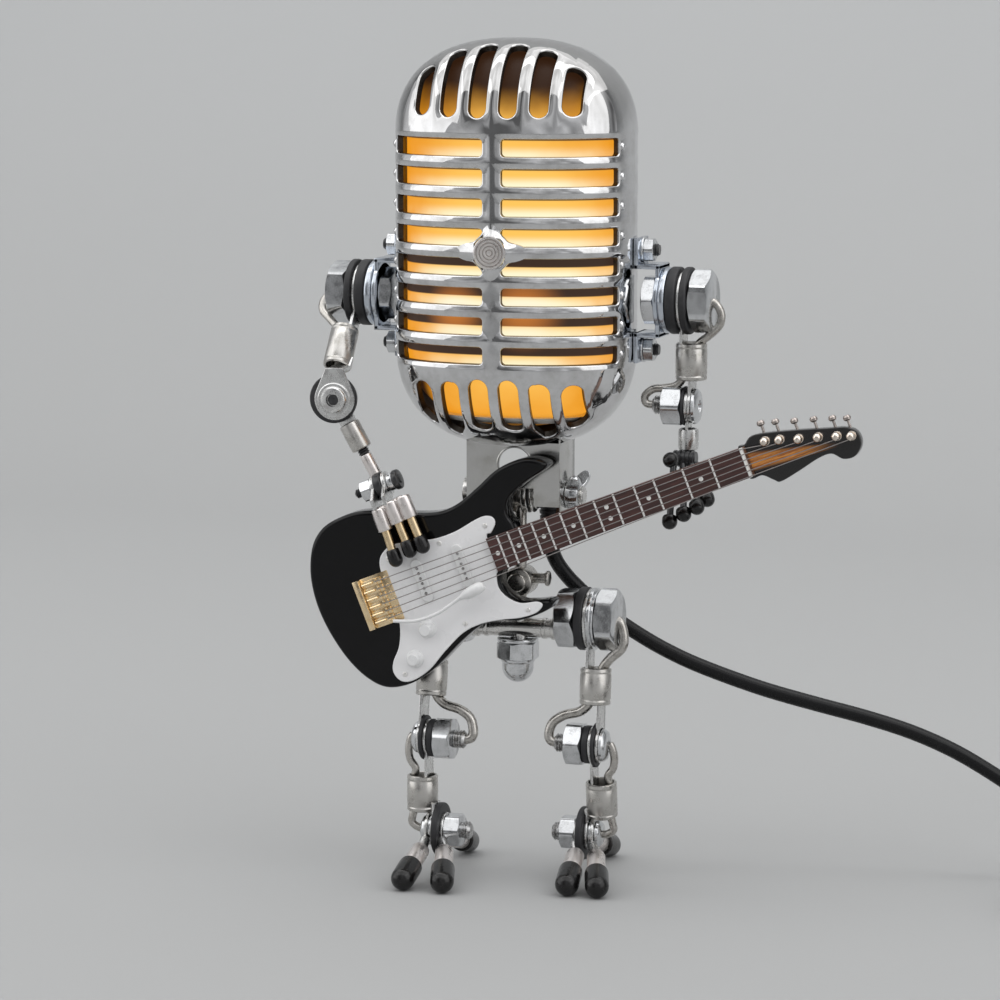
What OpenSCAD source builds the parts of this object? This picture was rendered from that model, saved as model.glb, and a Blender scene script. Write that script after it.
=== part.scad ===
// Robot shaped desk lamp: a microphone head with a light inside, limbs of bolts, ferrules and
// bent rods, and a miniature guitar. The robot faces -Y, and +X is its left-hand side.

/* [Head] */
// Width of the head
head_w = 78.6; // [70:0.2:90]
// Depth of the head
head_d = 56.4; // [50:0.2:66]
// Height of the head, crown to chin
head_h = 129; // [120:1:140]
// Height of each rounded cap
cap_h = 32; // [26:1:38]
// Height of the chin above the table
chin_z = 143.3; // [143:0.1:150]
// Wall of the die-cast shells
shell_wall = 2; // [1.6:0.1:2.6]
// Height of one horizontal grille slot
slot_h = 6.4; // [5:0.1:7]
// Distance from one horizontal slot to the next
slot_pitch = 9.4; // [8.8:0.1:9.8]
// Height of the lowest horizontal slot's middle
slot_low_z = 172.6; // [171:0.1:174]
// Width of the upright bar between the slots
centre_bar_w = 5.2; // [4:0.1:8]
// Width of one upright slot in the caps
cap_slot_w = 5.4; // [4:0.1:6.4]
// Distance between the upright slots
cap_slot_pitch = 10; // [8:0.5:10.5]
// Diameter of the medallion
medallion_d = 11; // [8:0.5:14]

/* [Light] */
// Gap between the shell and the amber diffuser
diffuser_gap = 4.2; // [3:0.2:7]
// Wall of the diffuser
diffuser_wall = 1.2; // [1:0.1:2]
// Diameter of the globe bulb
bulb_d = 25; // [20:1:30]
// Diameter of the lamp holder
holder_d = 16; // [14:0.5:20]

/* [Neck] */
// Width of the neck yoke
yoke_w = 31.5; // [28:0.5:36]
// Depth of the neck yoke
yoke_d = 17.7; // [16:0.1:20]
// Thickness of the yoke's sheet
yoke_t = 1.6; // [1.2:0.1:2]
// Height of the neck pivot above the table
pivot_z = 125.5; // [124:0.5:127]
// Diameter of the neck pivot bolt
pivot_d = 6; // [5:0.5:6.5]
// Diameter of the spine rod
spine_d = 4; // [3.5:0.5:5]
// Sideways place of the spine, towards the robot's left
spine_x = 1.5; // [1:0.1:2.5]

/* [Shoulders and arms] */
// Height of the shoulder axis
shoulder_z = 189; // [186:0.5:192]
// Distance of the shoulder axis behind the head's middle
shoulder_y = 5; // [3:0.5:7]
// Size of the big hexagon heads across flats
big_af = 18; // [17:0.5:19]
// Diameter of the big bolts' shanks
big_bolt_d = 10; // [8:0.5:11]
// Diameter of the big rubber washers
big_washer_d = 21.6; // [20:0.2:23]
// Height of the left elbow axis
left_elbow_z = 155.2; // [154:0.2:157]
// Diameter of the small bolts' shanks
small_bolt_d = 6; // [5:0.2:6.4]
// Thickness of the flat ring lugs
lug_t = 1; // [0.8:0.1:1.2]

/* [Legs] */
// Height of the hip axis
hip_z = 85.3; // [84:0.1:87]
// Height of the knee axes
knee_z = 44.6; // [43:0.1:46]
// Height of the ankle axes
ankle_z = 14.3; // [14:0.1:15.5]
// Size of the knee hexagons across flats
knee_af = 13; // [12:0.5:13.5]
// Outer diameter of the limb ferrules
ferrule_d = 10.2; // [9.8:0.1:10.8]
// Wall of the limb ferrules
ferrule_wall = 1; // [0.8:0.1:1.1]
// Length of the limb ferrules
ferrule_h = 12; // [10:0.5:13]
// Diameter of the thick bent rods
rod_d = 3.2; // [2.6:0.1:3.3]
// Diameter of the thin bent rods
thin_rod_d = 2.6; // [2:0.1:2.8]
// Diameter of the vinyl toe caps
toe_d = 7.8; // [7:0.1:8.2]
// Diameter of the pelvis tube
pelvis_tube_d = 6.1; // [5.6:0.1:7]

/* [Guitar] */
// Tilt of the guitar's neck
guitar_tilt = 21.7; // [18:0.1:25]
// Thickness of the guitar's body
body_t = 9; // [7:0.5:9.5]
// Distance from the body's front to the robot's middle plane
body_front = 20; // [19.5:0.1:21]
// Width of the neck at the nut
neck_w_nut = 9.8; // [9:0.1:10.5]
// Width of the neck at the body
neck_w_body = 11.2; // [10.8:0.1:12]
// Number of frets
fret_count = 13; // [10:1:14]
// Distance of the nut from the bridge
nut_s = 132; // [130:0.5:134]

/* [Cord] */
// Diameter of the cord
cord_d = 5; // [4.5:0.1:5.2]
// Diameter of the coil at the middle of its turns
coil_d = 54; // [50:1:58]
// Height of the coil's bundle of turns
coil_h = 10.4; // [10:0.2:11]
// Width of the coil's bundle of turns
coil_w = 20.4; // [19:0.2:22]

/* [Fits] */
// Gap between a turning bore and its shaft, on the radius
fit = 0.05; // [0.03:0.01:0.09]
// Gap between faces that lie beside each other
gap = 0.1; // [0.05:0.01:0.2]

/* [Hidden] */
$fn = 48;

RIGHT = -1;
LEFT = 1;

// Head form: a superellipse in plan, with superelliptic caps.
plan_power = 2.3;
cap_power = 2.4;
head_top_z = chin_z + head_h;
cap_low_z = chin_z + cap_h;
cap_high_z = head_top_z - cap_h;
seat_z = chin_z + 1.1;
slot_count = 8;
slot_reach = head_w / 2 - 1.8;
slot_back_y = -4;
cap_slots = [-2.5, -1.5, -0.5, 0.5, 1.5, 2.5] * cap_slot_pitch;
cap_slot_top_z = slot_low_z + (slot_count - 1) * slot_pitch + slot_h / 2 + 4.4;
cap_slot_low_z = slot_low_z - slot_h / 2 - 6.2;
medallion_z = slot_low_z + 3.5 * slot_pitch;
boss_y = -head_d / 2 - 0.8;
floor_z = seat_z + 5.6;
floor_t = 2;
holder_h = 15;
switch_z = 159;
switch_tilt = 26;
switch_d = 11;
switch_flange_d = 13.4;

// Neck: the yoke hangs below the seat, and the pivot bolt runs along X.
yoke_half = yoke_w / 2;
yoke_low_z = pivot_z - 3;
notch_w = 14;
notch_top_z = pivot_z + 2.8;
stack_d = 12.2;
eye_t = 3;
post_top_z = pivot_z - stack_d / 2 - gap;
wing_x = spine_x + yoke_half + gap;
clip_x = spine_x + 6.6;
cord_exit = [spine_x + 8.2, 7.4, pivot_z - 1];
boot_d = 8;
boot_h = 21;
boot_top_z = pivot_z + 4;
boot_cone_z = pivot_z - 5;

// Pelvis.
pelvis_z = hip_z - 1.9;
nut_in = 14.8;
nut_out = 21.8;
flange_t = 2.4;
acorn_af = 13;
acorn_top_z = pelvis_z - pelvis_tube_d / 2 - 1.6;
acorn_hex_h = 7.6;
waist_z = 96.6;

// Hip and knee stacks, as distances from the middle plane.
hip_washer = [nut_out + gap, 24.8];
hip_lug = 24.9;
hip_hex = 28.2;
hip_hex_t = 6.6;
hip_bolt_d = 12;
thigh_x = 27.5;
knee_thread = [14.6, 18.6];
knee_hex = [18.6, 24.6];
knee_washer = [24.6, 26.8];
knee_shin_lug = 26.9;
knee_spacer = [28.0, 29.0];
knee_thigh_lug = 29.1;
knee_dome = 30.2;
shin_x = 29.6;
ankle_thread = [12.8, 15.8];
ankle_hex = [15.8, 21.2];
ankle_af = 10;
toe_plate_in = 21.2;
ankle_disc = [22.2, 24.4];
ankle_disc_d = 17.4;
ankle_shin_lug = 24.5;
ankle_washer = [25.6, 26.6];
toe_plate_out = 26.6;
ankle_dome = 27.7;
knee_y = [-8, -4];
ankle_y = [-8, 0];
toe_in = [14.0, 25.5];
toe_out = [27.2, 35.4];
toe_reach = 28;
heel_x = 23.5;
heel_reach = 30;
flat_depth = 0.15;
ball_z = toe_d / 2 - flat_depth;
collar_d = 6;
function side_index(side) = side == RIGHT ? 0 : 1;
function thigh_lean(side) = atan2(-knee_y[side_index(side)], hip_z - knee_z);
function thigh_len(side) = norm([knee_y[side_index(side)], hip_z - knee_z]);
function shin_lean(side) = atan2(knee_y[side_index(side)] - ankle_y[side_index(side)], knee_z - ankle_z);
function shin_len(side) = norm([knee_y[side_index(side)] - ankle_y[side_index(side)], knee_z - ankle_z]);
thigh_top = 15.8;
shin_top = 12.4;

// Shoulder stacks, as distances from the middle plane.
flange_x = head_w / 2 + gap;
bracket_t = 1.5;
web_x = head_w / 2 + 7.2;
web_d = 20;
leg_gap = 10.2;
screw_offset = 16;
ring_x = [web_x + bracket_t + gap, web_x + 3.9];
shoulder_washer_in = [ring_x[1] + gap, ring_x[1] + 3.4];
shoulder_lug_x = shoulder_washer_in[1] + gap;
shoulder_washer_out = [shoulder_lug_x + lug_t + gap, shoulder_lug_x + 3.4];
shoulder_hex_x = shoulder_washer_out[1] + gap;
shoulder_hex_t = 6.8;
locknut_t = 4.6;
upper_arm_x = shoulder_lug_x + 3.1;
arm_ferrule_top = 13.4;

// Left elbow.
elbow_thread = [upper_arm_x - 12.4, upper_arm_x - 7.8];
elbow_hex = [upper_arm_x - 7.8, upper_arm_x - 2.3];
elbow_af = 12;
elbow_washer = [elbow_hex[1], elbow_hex[1] + 0.9];
elbow_fore_lug = elbow_washer[1] + gap;
elbow_upper_lug = elbow_fore_lug + lug_t + gap;
elbow_button = elbow_upper_lug + lug_t + gap;
left_fore_top = 7.2;
left_wrist_d = 3;
left_palm = [upper_arm_x - 0.7, 2.6, left_elbow_z - 16.8];

// Right arm: the elbow axis runs along Y, and the forearm lies in a plane across it.
right_elbow = [1.2 - upper_arm_x, -20, shoulder_z - 32.6];
right_ferrule_d = 9.2;
right_ferrule_h = 14.6;
right_lug_y = -20.6;
right_washer_y = [-20.5, -18.0];
right_fore_y = -17.9;
right_wrist = [-40.2, -17.4, 128.6];
wrist_rise = 21.6;
forearm_turn = atan2(right_wrist.x - right_elbow.x, right_elbow.z - right_wrist.z);
forearm_len = norm([right_wrist.x - right_elbow.x, right_wrist.z - right_elbow.z]);
fore_ferrule_d = 6.8;
fore_ferrule = [9.2, 18.6];
stud_d = 4;
stud_stop = 4.6;
wrist_disc_d = 9;
wrist_disc_t = 2.6;
sleeve_d = 4.7;
sleeve_h = 7;
sleeve_top = [[-38.4, -23.6, 124.0], [-33.8, -23.6, 126.6], [-29.2, -23.6, 128.4]];
finger_tip = [[-32.6, -23.6, 108.2], [-27.9, -23.6, 111.2], [-23.2, -23.6, 113.2]];
pin_d = 2.9;
tip_d = 4.4;

// Guitar: s runs from the bridge to the headstock, and t across it.
guitar_at = [-41.5, 92.2];
guard_t = 0.8;
neck_t = 4.6;
neck_proud = 0.9;
board_t = 1.4;
board_start = 43.6;
board_over = 0.5;
fret_ratio = 0.92;
fret_h = 0.35;
board_front = body_front + neck_proud + board_t;
string_y = board_front + 0.75;
string_d = 0.34;
head_t = 3.6;
post_s = [140.3, 144.9, 150.7, 156.7, 162.4, 166.8];
post_t = [4.2, 3.1, 1.3, -0.3, -2.0, -3.5];
peg_lean = 72;

// Outlines, as [s, t] points that smooth curves pass through.
body_points = [
    [-5.5, 28], [3.5, 28.2], [13, 25.4], [22, 21.4], [30, 19], [37, 19.2], [45, 21.8],
    [54, 25.2], [63, 25.6], [69, 22.9], [69.6, 20.2], [61, 18.1], [54.4, 15.4], [51.8, 11],
    [52.6, 6.4], [52, 0], [45.4, -4.6], [42, -8], [41.8, -12], [45, -16.4], [50, -18.4],
    [55.6, -20], [54.6, -22.2], [50, -23], [43, -22.8], [36, -20.6], [30, -20.2],
    [22, -22.8], [12, -27.4], [5, -29.6], [-1.6, -30.2], [-8, -28.6], [-13, -23.8],
    [-17, -16], [-19.6, -6], [-20.4, 4], [-19, 13.6], [-15.4, 21.6], [-11, 26]
];
guard_points = [
    [47.4, 9.2], [47.2, 11.4], [44.8, 12.6], [41, 12.4], [34, 11.2], [27, 11.2],
    [20, 12.6], [13, 14.1], [9, 13.4], [6, 10.8], [5, 6], [5, -4], [4.6, -11],
    [1.8, -17.4], [-2, -21.6], [-3.2, -25], [-1.6, -28.4], [2.4, -29.4], [9, -27.8],
    [16, -24], [24, -20.4], [31, -19.6], [38, -20.6], [44, -22], [49.6, -22.2],
    [52.6, -20.6], [51.2, -18.9], [46, -17.6], [42.4, -14.4], [40.8, -10.6],
    [41.6, -6.6], [42.6, -4.4], [43.2, 6], [45, 6.8]
];
headstock_points = [
    [131, 4.8], [133.4, 5.4], [136.4, 7.2], [142, 6.4], [152, 3.8], [160, 1.4],
    [166, -0.4], [168.8, -3], [168.6, -7], [165.4, -9.8], [161.6, -9.4], [158.6, -6.6],
    [154, -6.6], [147, -8.2], [140.4, -9.4], [138.4, -8.2], [135.4, -5.6], [131, -4.8]
];
guard_screws = [[44, 9.6], [27.4, 9.4], [47.6, -20.4], [26, -17.8], [0.4, -26.6], [9, 10.4]];

// Mains plug, lying on the coil.
plug_len = 24;
plug_w = 18;
plug_t = 11;
plug_side = 19.5;
plug_start = 18;
plug_cone = 16;
prong_len = 16;
prong_w = 6.4;
prong_t = 1.6;
prong_pitch = 11;

// The cord's route from the gland to the coil, and the coil's middle.
coil_at = [206, 2];
cord_route = [
    [cord_exit.x, cord_exit.y, boot_top_z - boot_h + 2], [cord_exit.x, cord_exit.y, boot_top_z - boot_h],
    [10.1, 7.8, 105.2], [11.6, 9.1, 101.2], [14.2, 11, 97],
    [17.6, 13.2, 92.8], [21.8, 15.2, 88.4], [26.4, 17, 84.2], [31.2, 18.4, 80.8], [37, 19.6, 77],
    [44, 20.8, 73], [53, 22, 68.8], [64, 23.8, 64.6], [78, 26, 60], [94, 28.4, 55.8],
    [110, 31, 51.8], [125, 33.4, 47.2], [139, 35.4, 41.2], [152, 36.8, 33.8], [163, 37.4, 26.8],
    [174, 37.4, 20.4], [185, 37.2, 15.2], [196, 36.6, 11.2]
];

// Origin: the middle of the object's foot print, without the cord.
x_high = guitar_x(169.3, -5);
x_low = -(shoulder_hex_x + shoulder_hex_t + 2.5 + thin_rod_d / 2);
y_low = ankle_y[0] - toe_reach - toe_d / 2;
y_high = ankle_y[1] + heel_reach + toe_d / 2;
origin = [(x_low + x_high) / 2, (y_low + y_high) / 2, 0];

function guitar_x(s, t) = guitar_at.x + s * cos(guitar_tilt) - t * sin(guitar_tilt);
function unit(v) = v / norm(v);

// A smooth curve through points: p1 to p2, with their neighbours.
function between(p0, p1, p2, p3, u) =
    0.5 * (2 * p1 + (p2 - p0) * u + (2 * p0 - 5 * p1 + 4 * p2 - p3) * u * u
    + (3 * p1 - p0 - 3 * p2 + p3) * u * u * u);
function smooth(p, steps) = let (n = len(p) - 1) [
    for (i = [0 : n - 1], k = [0 : steps - 1])
        between(p[max(i - 1, 0)], p[i], p[i + 1], p[min(i + 2, n)], k / steps),
    p[n]
];
function smooth_loop(p, steps) = let (n = len(p)) [
    for (i = [0 : n - 1], k = [0 : steps - 1])
        between(p[(i + n - 1) % n], p[i], p[(i + 1) % n], p[(i + 2) % n], k / steps)
];

// Directions across a line, carried along it without twist.
function across(t) = unit(cross(t, abs(t.z) < 0.9 ? [0, 0, 1] : [0, 1, 0]));
function carried(tangents, i, n) =
    i == len(tangents) ? [] :
    let (m = unit(n - (n * tangents[i]) * tangents[i]))
    concat([m], carried(tangents, i + 1, m));

// A round bar that follows a line.
module bar_along(line, d, sides = 10) {
    n = len(line);
    tangents = [for (i = [0 : n - 1]) unit(line[min(i + 1, n - 1)] - line[max(i - 1, 0)])];
    normals = carried(tangents, 0, across(tangents[0]));
    points = [
        for (i = [0 : n - 1], k = [0 : sides - 1])
            let (a = 360 * k / sides)
            line[i] + d / 2 * (cos(a) * normals[i] + sin(a) * cross(tangents[i], normals[i]))
    ];
    sides_faces = [
        for (i = [0 : n - 2], k = [0 : sides - 1])
            let (a = i * sides + k, b = i * sides + (k + 1) % sides)
            each [[a, a + sides, b + sides], [a, b + sides, b]]
    ];
    start_face = [for (k = [0 : sides - 1]) k];
    end_face = [for (k = [sides - 1 : -1 : 0]) (n - 1) * sides + k];
    polyhedron(concat([for (p = points) p]), concat([start_face], sides_faces, [end_face]));
}

module bent_rod(points, d) {
    bar_along(smooth(points, 4), d);
}

// Turns +Z onto the line from a to b, with a at the start.
module from_to(a, b) {
    v = b - a;
    translate(a)
        rotate([0, acos(v.z / norm(v)), atan2(v.y, v.x)])
            children();
}

// A rubber cap: a round nose at the origin, a skirt down to -len, and a blind bore.
module rubber_cap(d, len, bore, depth) {
    rotate_extrude($fn = 32)
        difference() {
            union() {
                intersection() {
                    circle(d = d);
                    square(d);
                }
                translate([0, -len]) square([d / 2, len]);
            }
            translate([-1, -len - 1]) square([1 + bore / 2, depth + 1]);
        }
}

module bar(a, b, d) {
    from_to(a, b) cylinder(d = d, h = norm(b - a));
}

// Along X, for the side that faces +X.
module rod_x(x0, x1, d) {
    translate([x0, 0, 0]) rotate([0, 90, 0]) cylinder(d = d, h = x1 - x0);
}

module ring_x(x0, x1, d, bore) {
    translate([x0, 0, 0])
        rotate([0, 90, 0])
            difference() {
                cylinder(d = d, h = x1 - x0);
                translate([0, 0, -1]) cylinder(d = bore, h = x1 - x0 + 2);
            }
}

module hex_x(x0, x1, flats, turn = 0) {
    translate([x0, 0, 0])
        rotate([0, 90, 0])
            rotate([0, 0, turn])
                cylinder(d = flats / cos(30), h = x1 - x0, $fn = 6);
}

// A crimped ferrule along -Z, with its top at z = -top.
module ferrule(x, top, d = ferrule_d, h = ferrule_h, wall = ferrule_wall) {
    translate([x, 0, -top - h])
        difference() {
            cylinder(d = d, h = h);
            translate([0, 0, -1]) cylinder(d = d - 2 * wall, h = h + 2);
        }
}

// A flat tongue from a ring at the origin down to z = -reach, in the plane across X.
module tongue_down(x0, ring_d, bore, width, reach) {
    difference() {
        union() {
            rod_x(x0, x0 + lug_t, ring_d);
            translate([x0, -width / 2, -reach]) cube([lug_t, width, reach]);
        }
        rod_x(x0 - 1, x0 + lug_t + 1, bore);
    }
}

module tongue_up(x0, ring_d, bore, width, reach) {
    mirror([0, 0, 1]) tongue_down(x0, ring_d, bore, width, reach);
}

module mirrored(side) {
    if (side == LEFT) children();
    else mirror([1, 0, 0]) children();
}

// ---- Head ----

around = 40;
function power(c, n) = sign(c) * pow(abs(c), 2 / n);
function head_ring(f, z, inset) = [
    for (k = [0 : around - 1]) let (a = 360 * k / around)
        [(head_w / 2 - inset) * f * power(cos(a), plan_power),
         (head_d / 2 - inset) * f * power(sin(a), plan_power), z]
];
cap_steps = [12, 25, 38, 51, 64, 77];

module head_form(inset) {
    h = cap_h - inset;
    rows = concat(
        [for (i = [len(cap_steps) - 1 : -1 : 0])
            head_ring(power(cos(cap_steps[i]), cap_power),
                cap_low_z - h * power(sin(cap_steps[i]), cap_power), inset)],
        [head_ring(1, cap_low_z, inset), head_ring(1, cap_high_z, inset)],
        [for (i = [0 : len(cap_steps) - 1])
            head_ring(power(cos(cap_steps[i]), cap_power),
                cap_high_z + h * power(sin(cap_steps[i]), cap_power), inset)]
    );
    n = len(rows);
    points = concat([for (r = rows) each r], [[0, 0, cap_low_z - h], [0, 0, cap_high_z + h]]);
    bands = [
        for (i = [0 : n - 2], k = [0 : around - 1])
            let (a = i * around + k, b = i * around + (k + 1) % around)
            each [[a, a + around, b + around], [a, b + around, b]]
    ];
    low = [for (k = [0 : around - 1]) [n * around, k, (k + 1) % around]];
    high = [for (k = [0 : around - 1])
        [n * around + 1, (n - 1) * around + (k + 1) % around, (n - 1) * around + k]];
    polyhedron(points, concat(bands, low, high));
}

// One slot, long way along Z or X, cut through the front half.
module slot(x0, x1, z0, z1) {
    r = min(x1 - x0, z1 - z0) / 2;
    translate([0, slot_back_y, 0])
        rotate([90, 0, 0])
            linear_extrude(head_d)
                hull() {
                    translate([x0 + r, z0 + r]) circle(r, $fn = 16);
                    translate([x1 - r, z1 - r]) circle(r, $fn = 16);
                }
}

module grille_slots(low_slots) {
    for (i = [0 : slot_count - 1], side = [RIGHT, LEFT])
        mirrored(side)
            slot(centre_bar_w / 2, slot_reach,
                slot_low_z + i * slot_pitch - slot_h / 2, slot_low_z + i * slot_pitch + slot_h / 2);
    for (x = cap_slots)
        slot(x - cap_slot_w / 2, x + cap_slot_w / 2, cap_slot_top_z, head_top_z + 9);
    for (x = low_slots)
        slot(x - cap_slot_w / 2, x + cap_slot_w / 2, chin_z - 9, cap_slot_low_z);
}

module head_shell() {
    difference() {
        head_form(0);
        head_form(shell_wall);
        translate([-head_w, -head_d, chin_z - 1]) cube([2 * head_w, 2 * head_d, seat_z - chin_z + 1]);
        translate([spine_x, 0, chin_z]) cylinder(d = 9, h = 10);
    }
}

module boss_star() {
    for (a = [0 : 90 : 270])
        translate([0, boss_y, medallion_z])
            rotate([-90, 0, 0])
                rotate([0, 0, a])
                    linear_extrude(1.4)
                        polygon([[-5, 0], [5, 0], [2.2, 5.6], [0.9, 8.4], [-0.9, 8.4], [-2.2, 5.6]]);
    translate([0, boss_y, medallion_z]) rotate([-90, 0, 0]) cylinder(r = 6.4, h = 1.4);
}

module head_front_shell() {
    color("silver") {
        difference() {
            head_shell();
            grille_slots(cap_slots);
            translate([-head_w, 0, 0]) cube([2 * head_w, head_d, 2 * head_top_z]);
        }
        boss_star();
    }
}

// Places its children on the switch's axis, with +Z pointing out of the rear shell.
module at_switch() {
    translate([0, head_d / 2 - 3.4, switch_z])
        rotate([-90 - switch_tilt, 0, 0])
            children();
}

module head_rear_shell() {
    color("silver")
        difference() {
            mirror([0, 1, 0])
                difference() {
                    head_shell();
                    grille_slots([for (x = cap_slots) if (abs(x) > cap_slot_pitch) x]);
                    translate([-head_w, -0.01, 0]) cube([2 * head_w, head_d, 2 * head_top_z]);
                }
            at_switch() translate([0, 0, -9]) cylinder(d = switch_d + 2 * gap, h = 20);
            at_switch() translate([0, 0, 1.6]) cylinder(d = switch_flange_d + 2 * gap, h = 9);
        }
}

module switch_housing() {
    color("black")
        at_switch()
            difference() {
                union() {
                    translate([0, 0, -3]) cylinder(d = switch_d, h = 4.6);
                    translate([0, 0, 1.6]) cylinder(d = switch_flange_d, h = 1.6);
                }
                translate([-2.9, -4, -1]) cube([5.8, 8, 6]);
                translate([-5, 0, 1]) rotate([0, 90, 0]) cylinder(d = 1.2 + 2 * fit, h = 10);
            }
}

module switch_rocker() {
    color("red")
        at_switch() {
            difference() {
                translate([-2.7, 0, 1])
                    rotate([90, 0, 90])
                        linear_extrude(5.4)
                            polygon([[-3.6, 0.4], [0, -1.4], [3.6, 0.4], [3.4, 3.4], [0, 2.5], [-3.4, 3.4]]);
                translate([-5, 0, 1]) rotate([0, 90, 0]) cylinder(d = 1, h = 10);
            }
            translate([-4.6, 0, 1]) rotate([0, 90, 0]) cylinder(d = 1.2, h = 9.2);
        }
}

module light_diffuser() {
    color("orange")
        difference() {
            head_form(shell_wall + diffuser_gap);
            head_form(shell_wall + diffuser_gap + diffuser_wall);
            translate([-head_w, -head_d, 0]) cube([2 * head_w, 2 * head_d, floor_z + floor_t]);
        }
}

module medallion() {
    color("silver")
        translate([0, boss_y, medallion_z])
            rotate([90, 0, 0])
                difference() {
                    cylinder(d = medallion_d, h = 1.8);
                    for (r = [0.55, 0.84])
                        translate([0, 0, 1.2])
                            difference() {
                                cylinder(d = medallion_d * r, h = 1);
                                cylinder(d = medallion_d * r - 1, h = 1);
                            }
                }
}

module lamp_holder() {
    color("white") {
        intersection() {
            head_form(shell_wall + 0.3);
            translate([-head_w, -head_d, floor_z]) cube([2 * head_w, 2 * head_d, floor_t]);
        }
        translate([0, 0, floor_z + floor_t])
            difference() {
                cylinder(d = holder_d, h = holder_h);
                translate([0, 0, 4]) cylinder(d = holder_d - 3, h = holder_h);
            }
    }
}

module bulb() {
    top = floor_z + floor_t + holder_h;
    color("white")
        rotate_extrude()
            intersection() {
                union() {
                    translate([0, top + bulb_d / 2 + 2]) circle(d = bulb_d);
                    translate([0, top - 6]) square([(holder_d - 3) / 2 - gap, 12]);
                }
                translate([0, top - 6]) square([bulb_d, bulb_d + 20]);
            }
}

// ---- Neck ----

module neck_yoke() {
    low = yoke_low_z;
    color("silver")
        translate([spine_x, 0, 0])
            difference() {
                union() {
                    translate([-yoke_half, -yoke_d / 2, seat_z - yoke_t]) cube([yoke_w, yoke_d, yoke_t]);
                    translate([-yoke_half, -yoke_d / 2, low]) cube([yoke_w, yoke_t, seat_z - low]);
                    for (x = [-yoke_half, yoke_half - yoke_t])
                        translate([x, -yoke_d / 2, low - 3.6]) cube([yoke_t, yoke_d, seat_z - low + 3.6]);
                }
                translate([-notch_w / 2, -yoke_d, low - 5]) cube([notch_w, yoke_d, notch_top_z - low + 5]);
                translate([0.6, 0, seat_z - 8.6]) rotate([90, 0, 0]) cylinder(d = 11, h = yoke_d);
                translate([0, 0, seat_z - yoke_t - 1]) cylinder(d = 9, h = yoke_t + 2);
                translate([-yoke_w, 0, pivot_z]) rotate([0, 90, 0])
                    cylinder(d = pivot_d + 2 * fit, h = 2 * yoke_w);
            }
}

module spine_post() {
    color("gray") {
        translate([spine_x, 0, 0])
            difference() {
                union() {
                    translate([0, 0, pivot_z]) rod_x(-eye_t / 2, eye_t / 2, 10);
                    translate([0, 0, pelvis_z + pelvis_tube_d / 2 - 0.6])
                        cylinder(d = spine_d, h = post_top_z - pelvis_z - pelvis_tube_d / 2 + 0.6);
                    translate([-eye_t / 2, -spine_d / 2, post_top_z - 1]) cube([eye_t, spine_d, 4]);
                    translate([0, 5, waist_z]) rotate([90, 0, 0]) cylinder(d = 10, h = 10);
                    translate([4, 0, waist_z + 1.2]) rod_x(0, 5, 3.4);
                    translate([0, 0, pelvis_z + pelvis_tube_d / 2 - 0.6]) cylinder(d = 8, h = 3);
                }
                translate([0, 0, pivot_z]) rod_x(-5, 5, pivot_d + 2 * fit);
                translate([-20, 0, pelvis_z]) rod_x(0, 40, pelvis_tube_d + 2 * fit);
            }
    }
}

module neck_pivot_bolt() {
    head_x = -yoke_half - gap;
    color("silver")
        translate([spine_x, 0, pivot_z]) {
            rod_x(head_x - 0.01, yoke_half + 8.5, pivot_d);
            rod_x(head_x - 2.6, head_x, 10);
            ring_x(eye_t / 2 + gap, eye_t / 2 + 2.2, stack_d, pivot_d - 0.02);
            ring_x(eye_t / 2 + 2.2, eye_t / 2 + 3.3, stack_d - 2.4, pivot_d - 0.02);
            ring_x(-eye_t / 2 - 2.6, -eye_t / 2 - gap, stack_d, pivot_d - 0.02);
            ring_x(-eye_t / 2 - 3.7, -eye_t / 2 - 2.6, stack_d - 2.4, pivot_d - 0.02);
        }
}

module neck_wing_nut() {
    color("silver")
        translate([wing_x, 0, pivot_z])
            difference() {
                union() {
                    rod_x(0, 4.4, 9);
                    for (a = [-1, 1])
                        rotate([a * 48, 0, 0])
                            translate([2, -0.8, 3.6])
                                rotate([-90, 0, 0])
                                    linear_extrude(1.6)
                                        polygon([[-1.6, 0.6], [2.2, 0.6], [3.8, -3.4],
                                            [3.4, -6], [1.4, -6.4], [-0.6, -3.6]]);
                }
                rod_x(-1, 12, pivot_d + 2 * fit);
            }
}

// ---- Pelvis ----

module pelvis_tube() {
    color("gray")
        translate([0, 0, pelvis_z]) {
            rod_x(-nut_in + flange_t, nut_in - flange_t, pelvis_tube_d);
            for (side = [RIGHT, LEFT])
                mirrored(side) rod_x(nut_in - flange_t, nut_in - gap, 8);
            translate([spine_x, 0, -pelvis_tube_d / 2 - 4]) cylinder(d = 5, h = 5);
        }
}

module hip_inner_nuts() {
    color("lightgray")
        for (side = [RIGHT, LEFT])
            mirrored(side)
                translate([0, 0, hip_z])
                    difference() {
                        hex_x(nut_in, nut_out, big_af);
                        rod_x(nut_in + 1.4, nut_out + 1, hip_bolt_d + 2 * fit);
                    }
}

module acorn_nut() {
    color("lightgray")
        translate([spine_x, 0, 0])
            difference() {
                union() {
                    translate([0, 0, acorn_top_z - acorn_hex_h])
                        cylinder(d = acorn_af / cos(30), h = acorn_hex_h, $fn = 6);
                    translate([0, 0, acorn_top_z - acorn_hex_h - 3.4]) cylinder(d = 11.2, h = 3.6);
                    translate([0, 0, acorn_top_z - acorn_hex_h - 3.4]) sphere(d = 11.2);
                }
                translate([0, 0, pelvis_z - pelvis_tube_d / 2 - 4.1]) cylinder(d = 5 + 2 * fit, h = 9);
            }
}

// ---- Guitar ----

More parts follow.
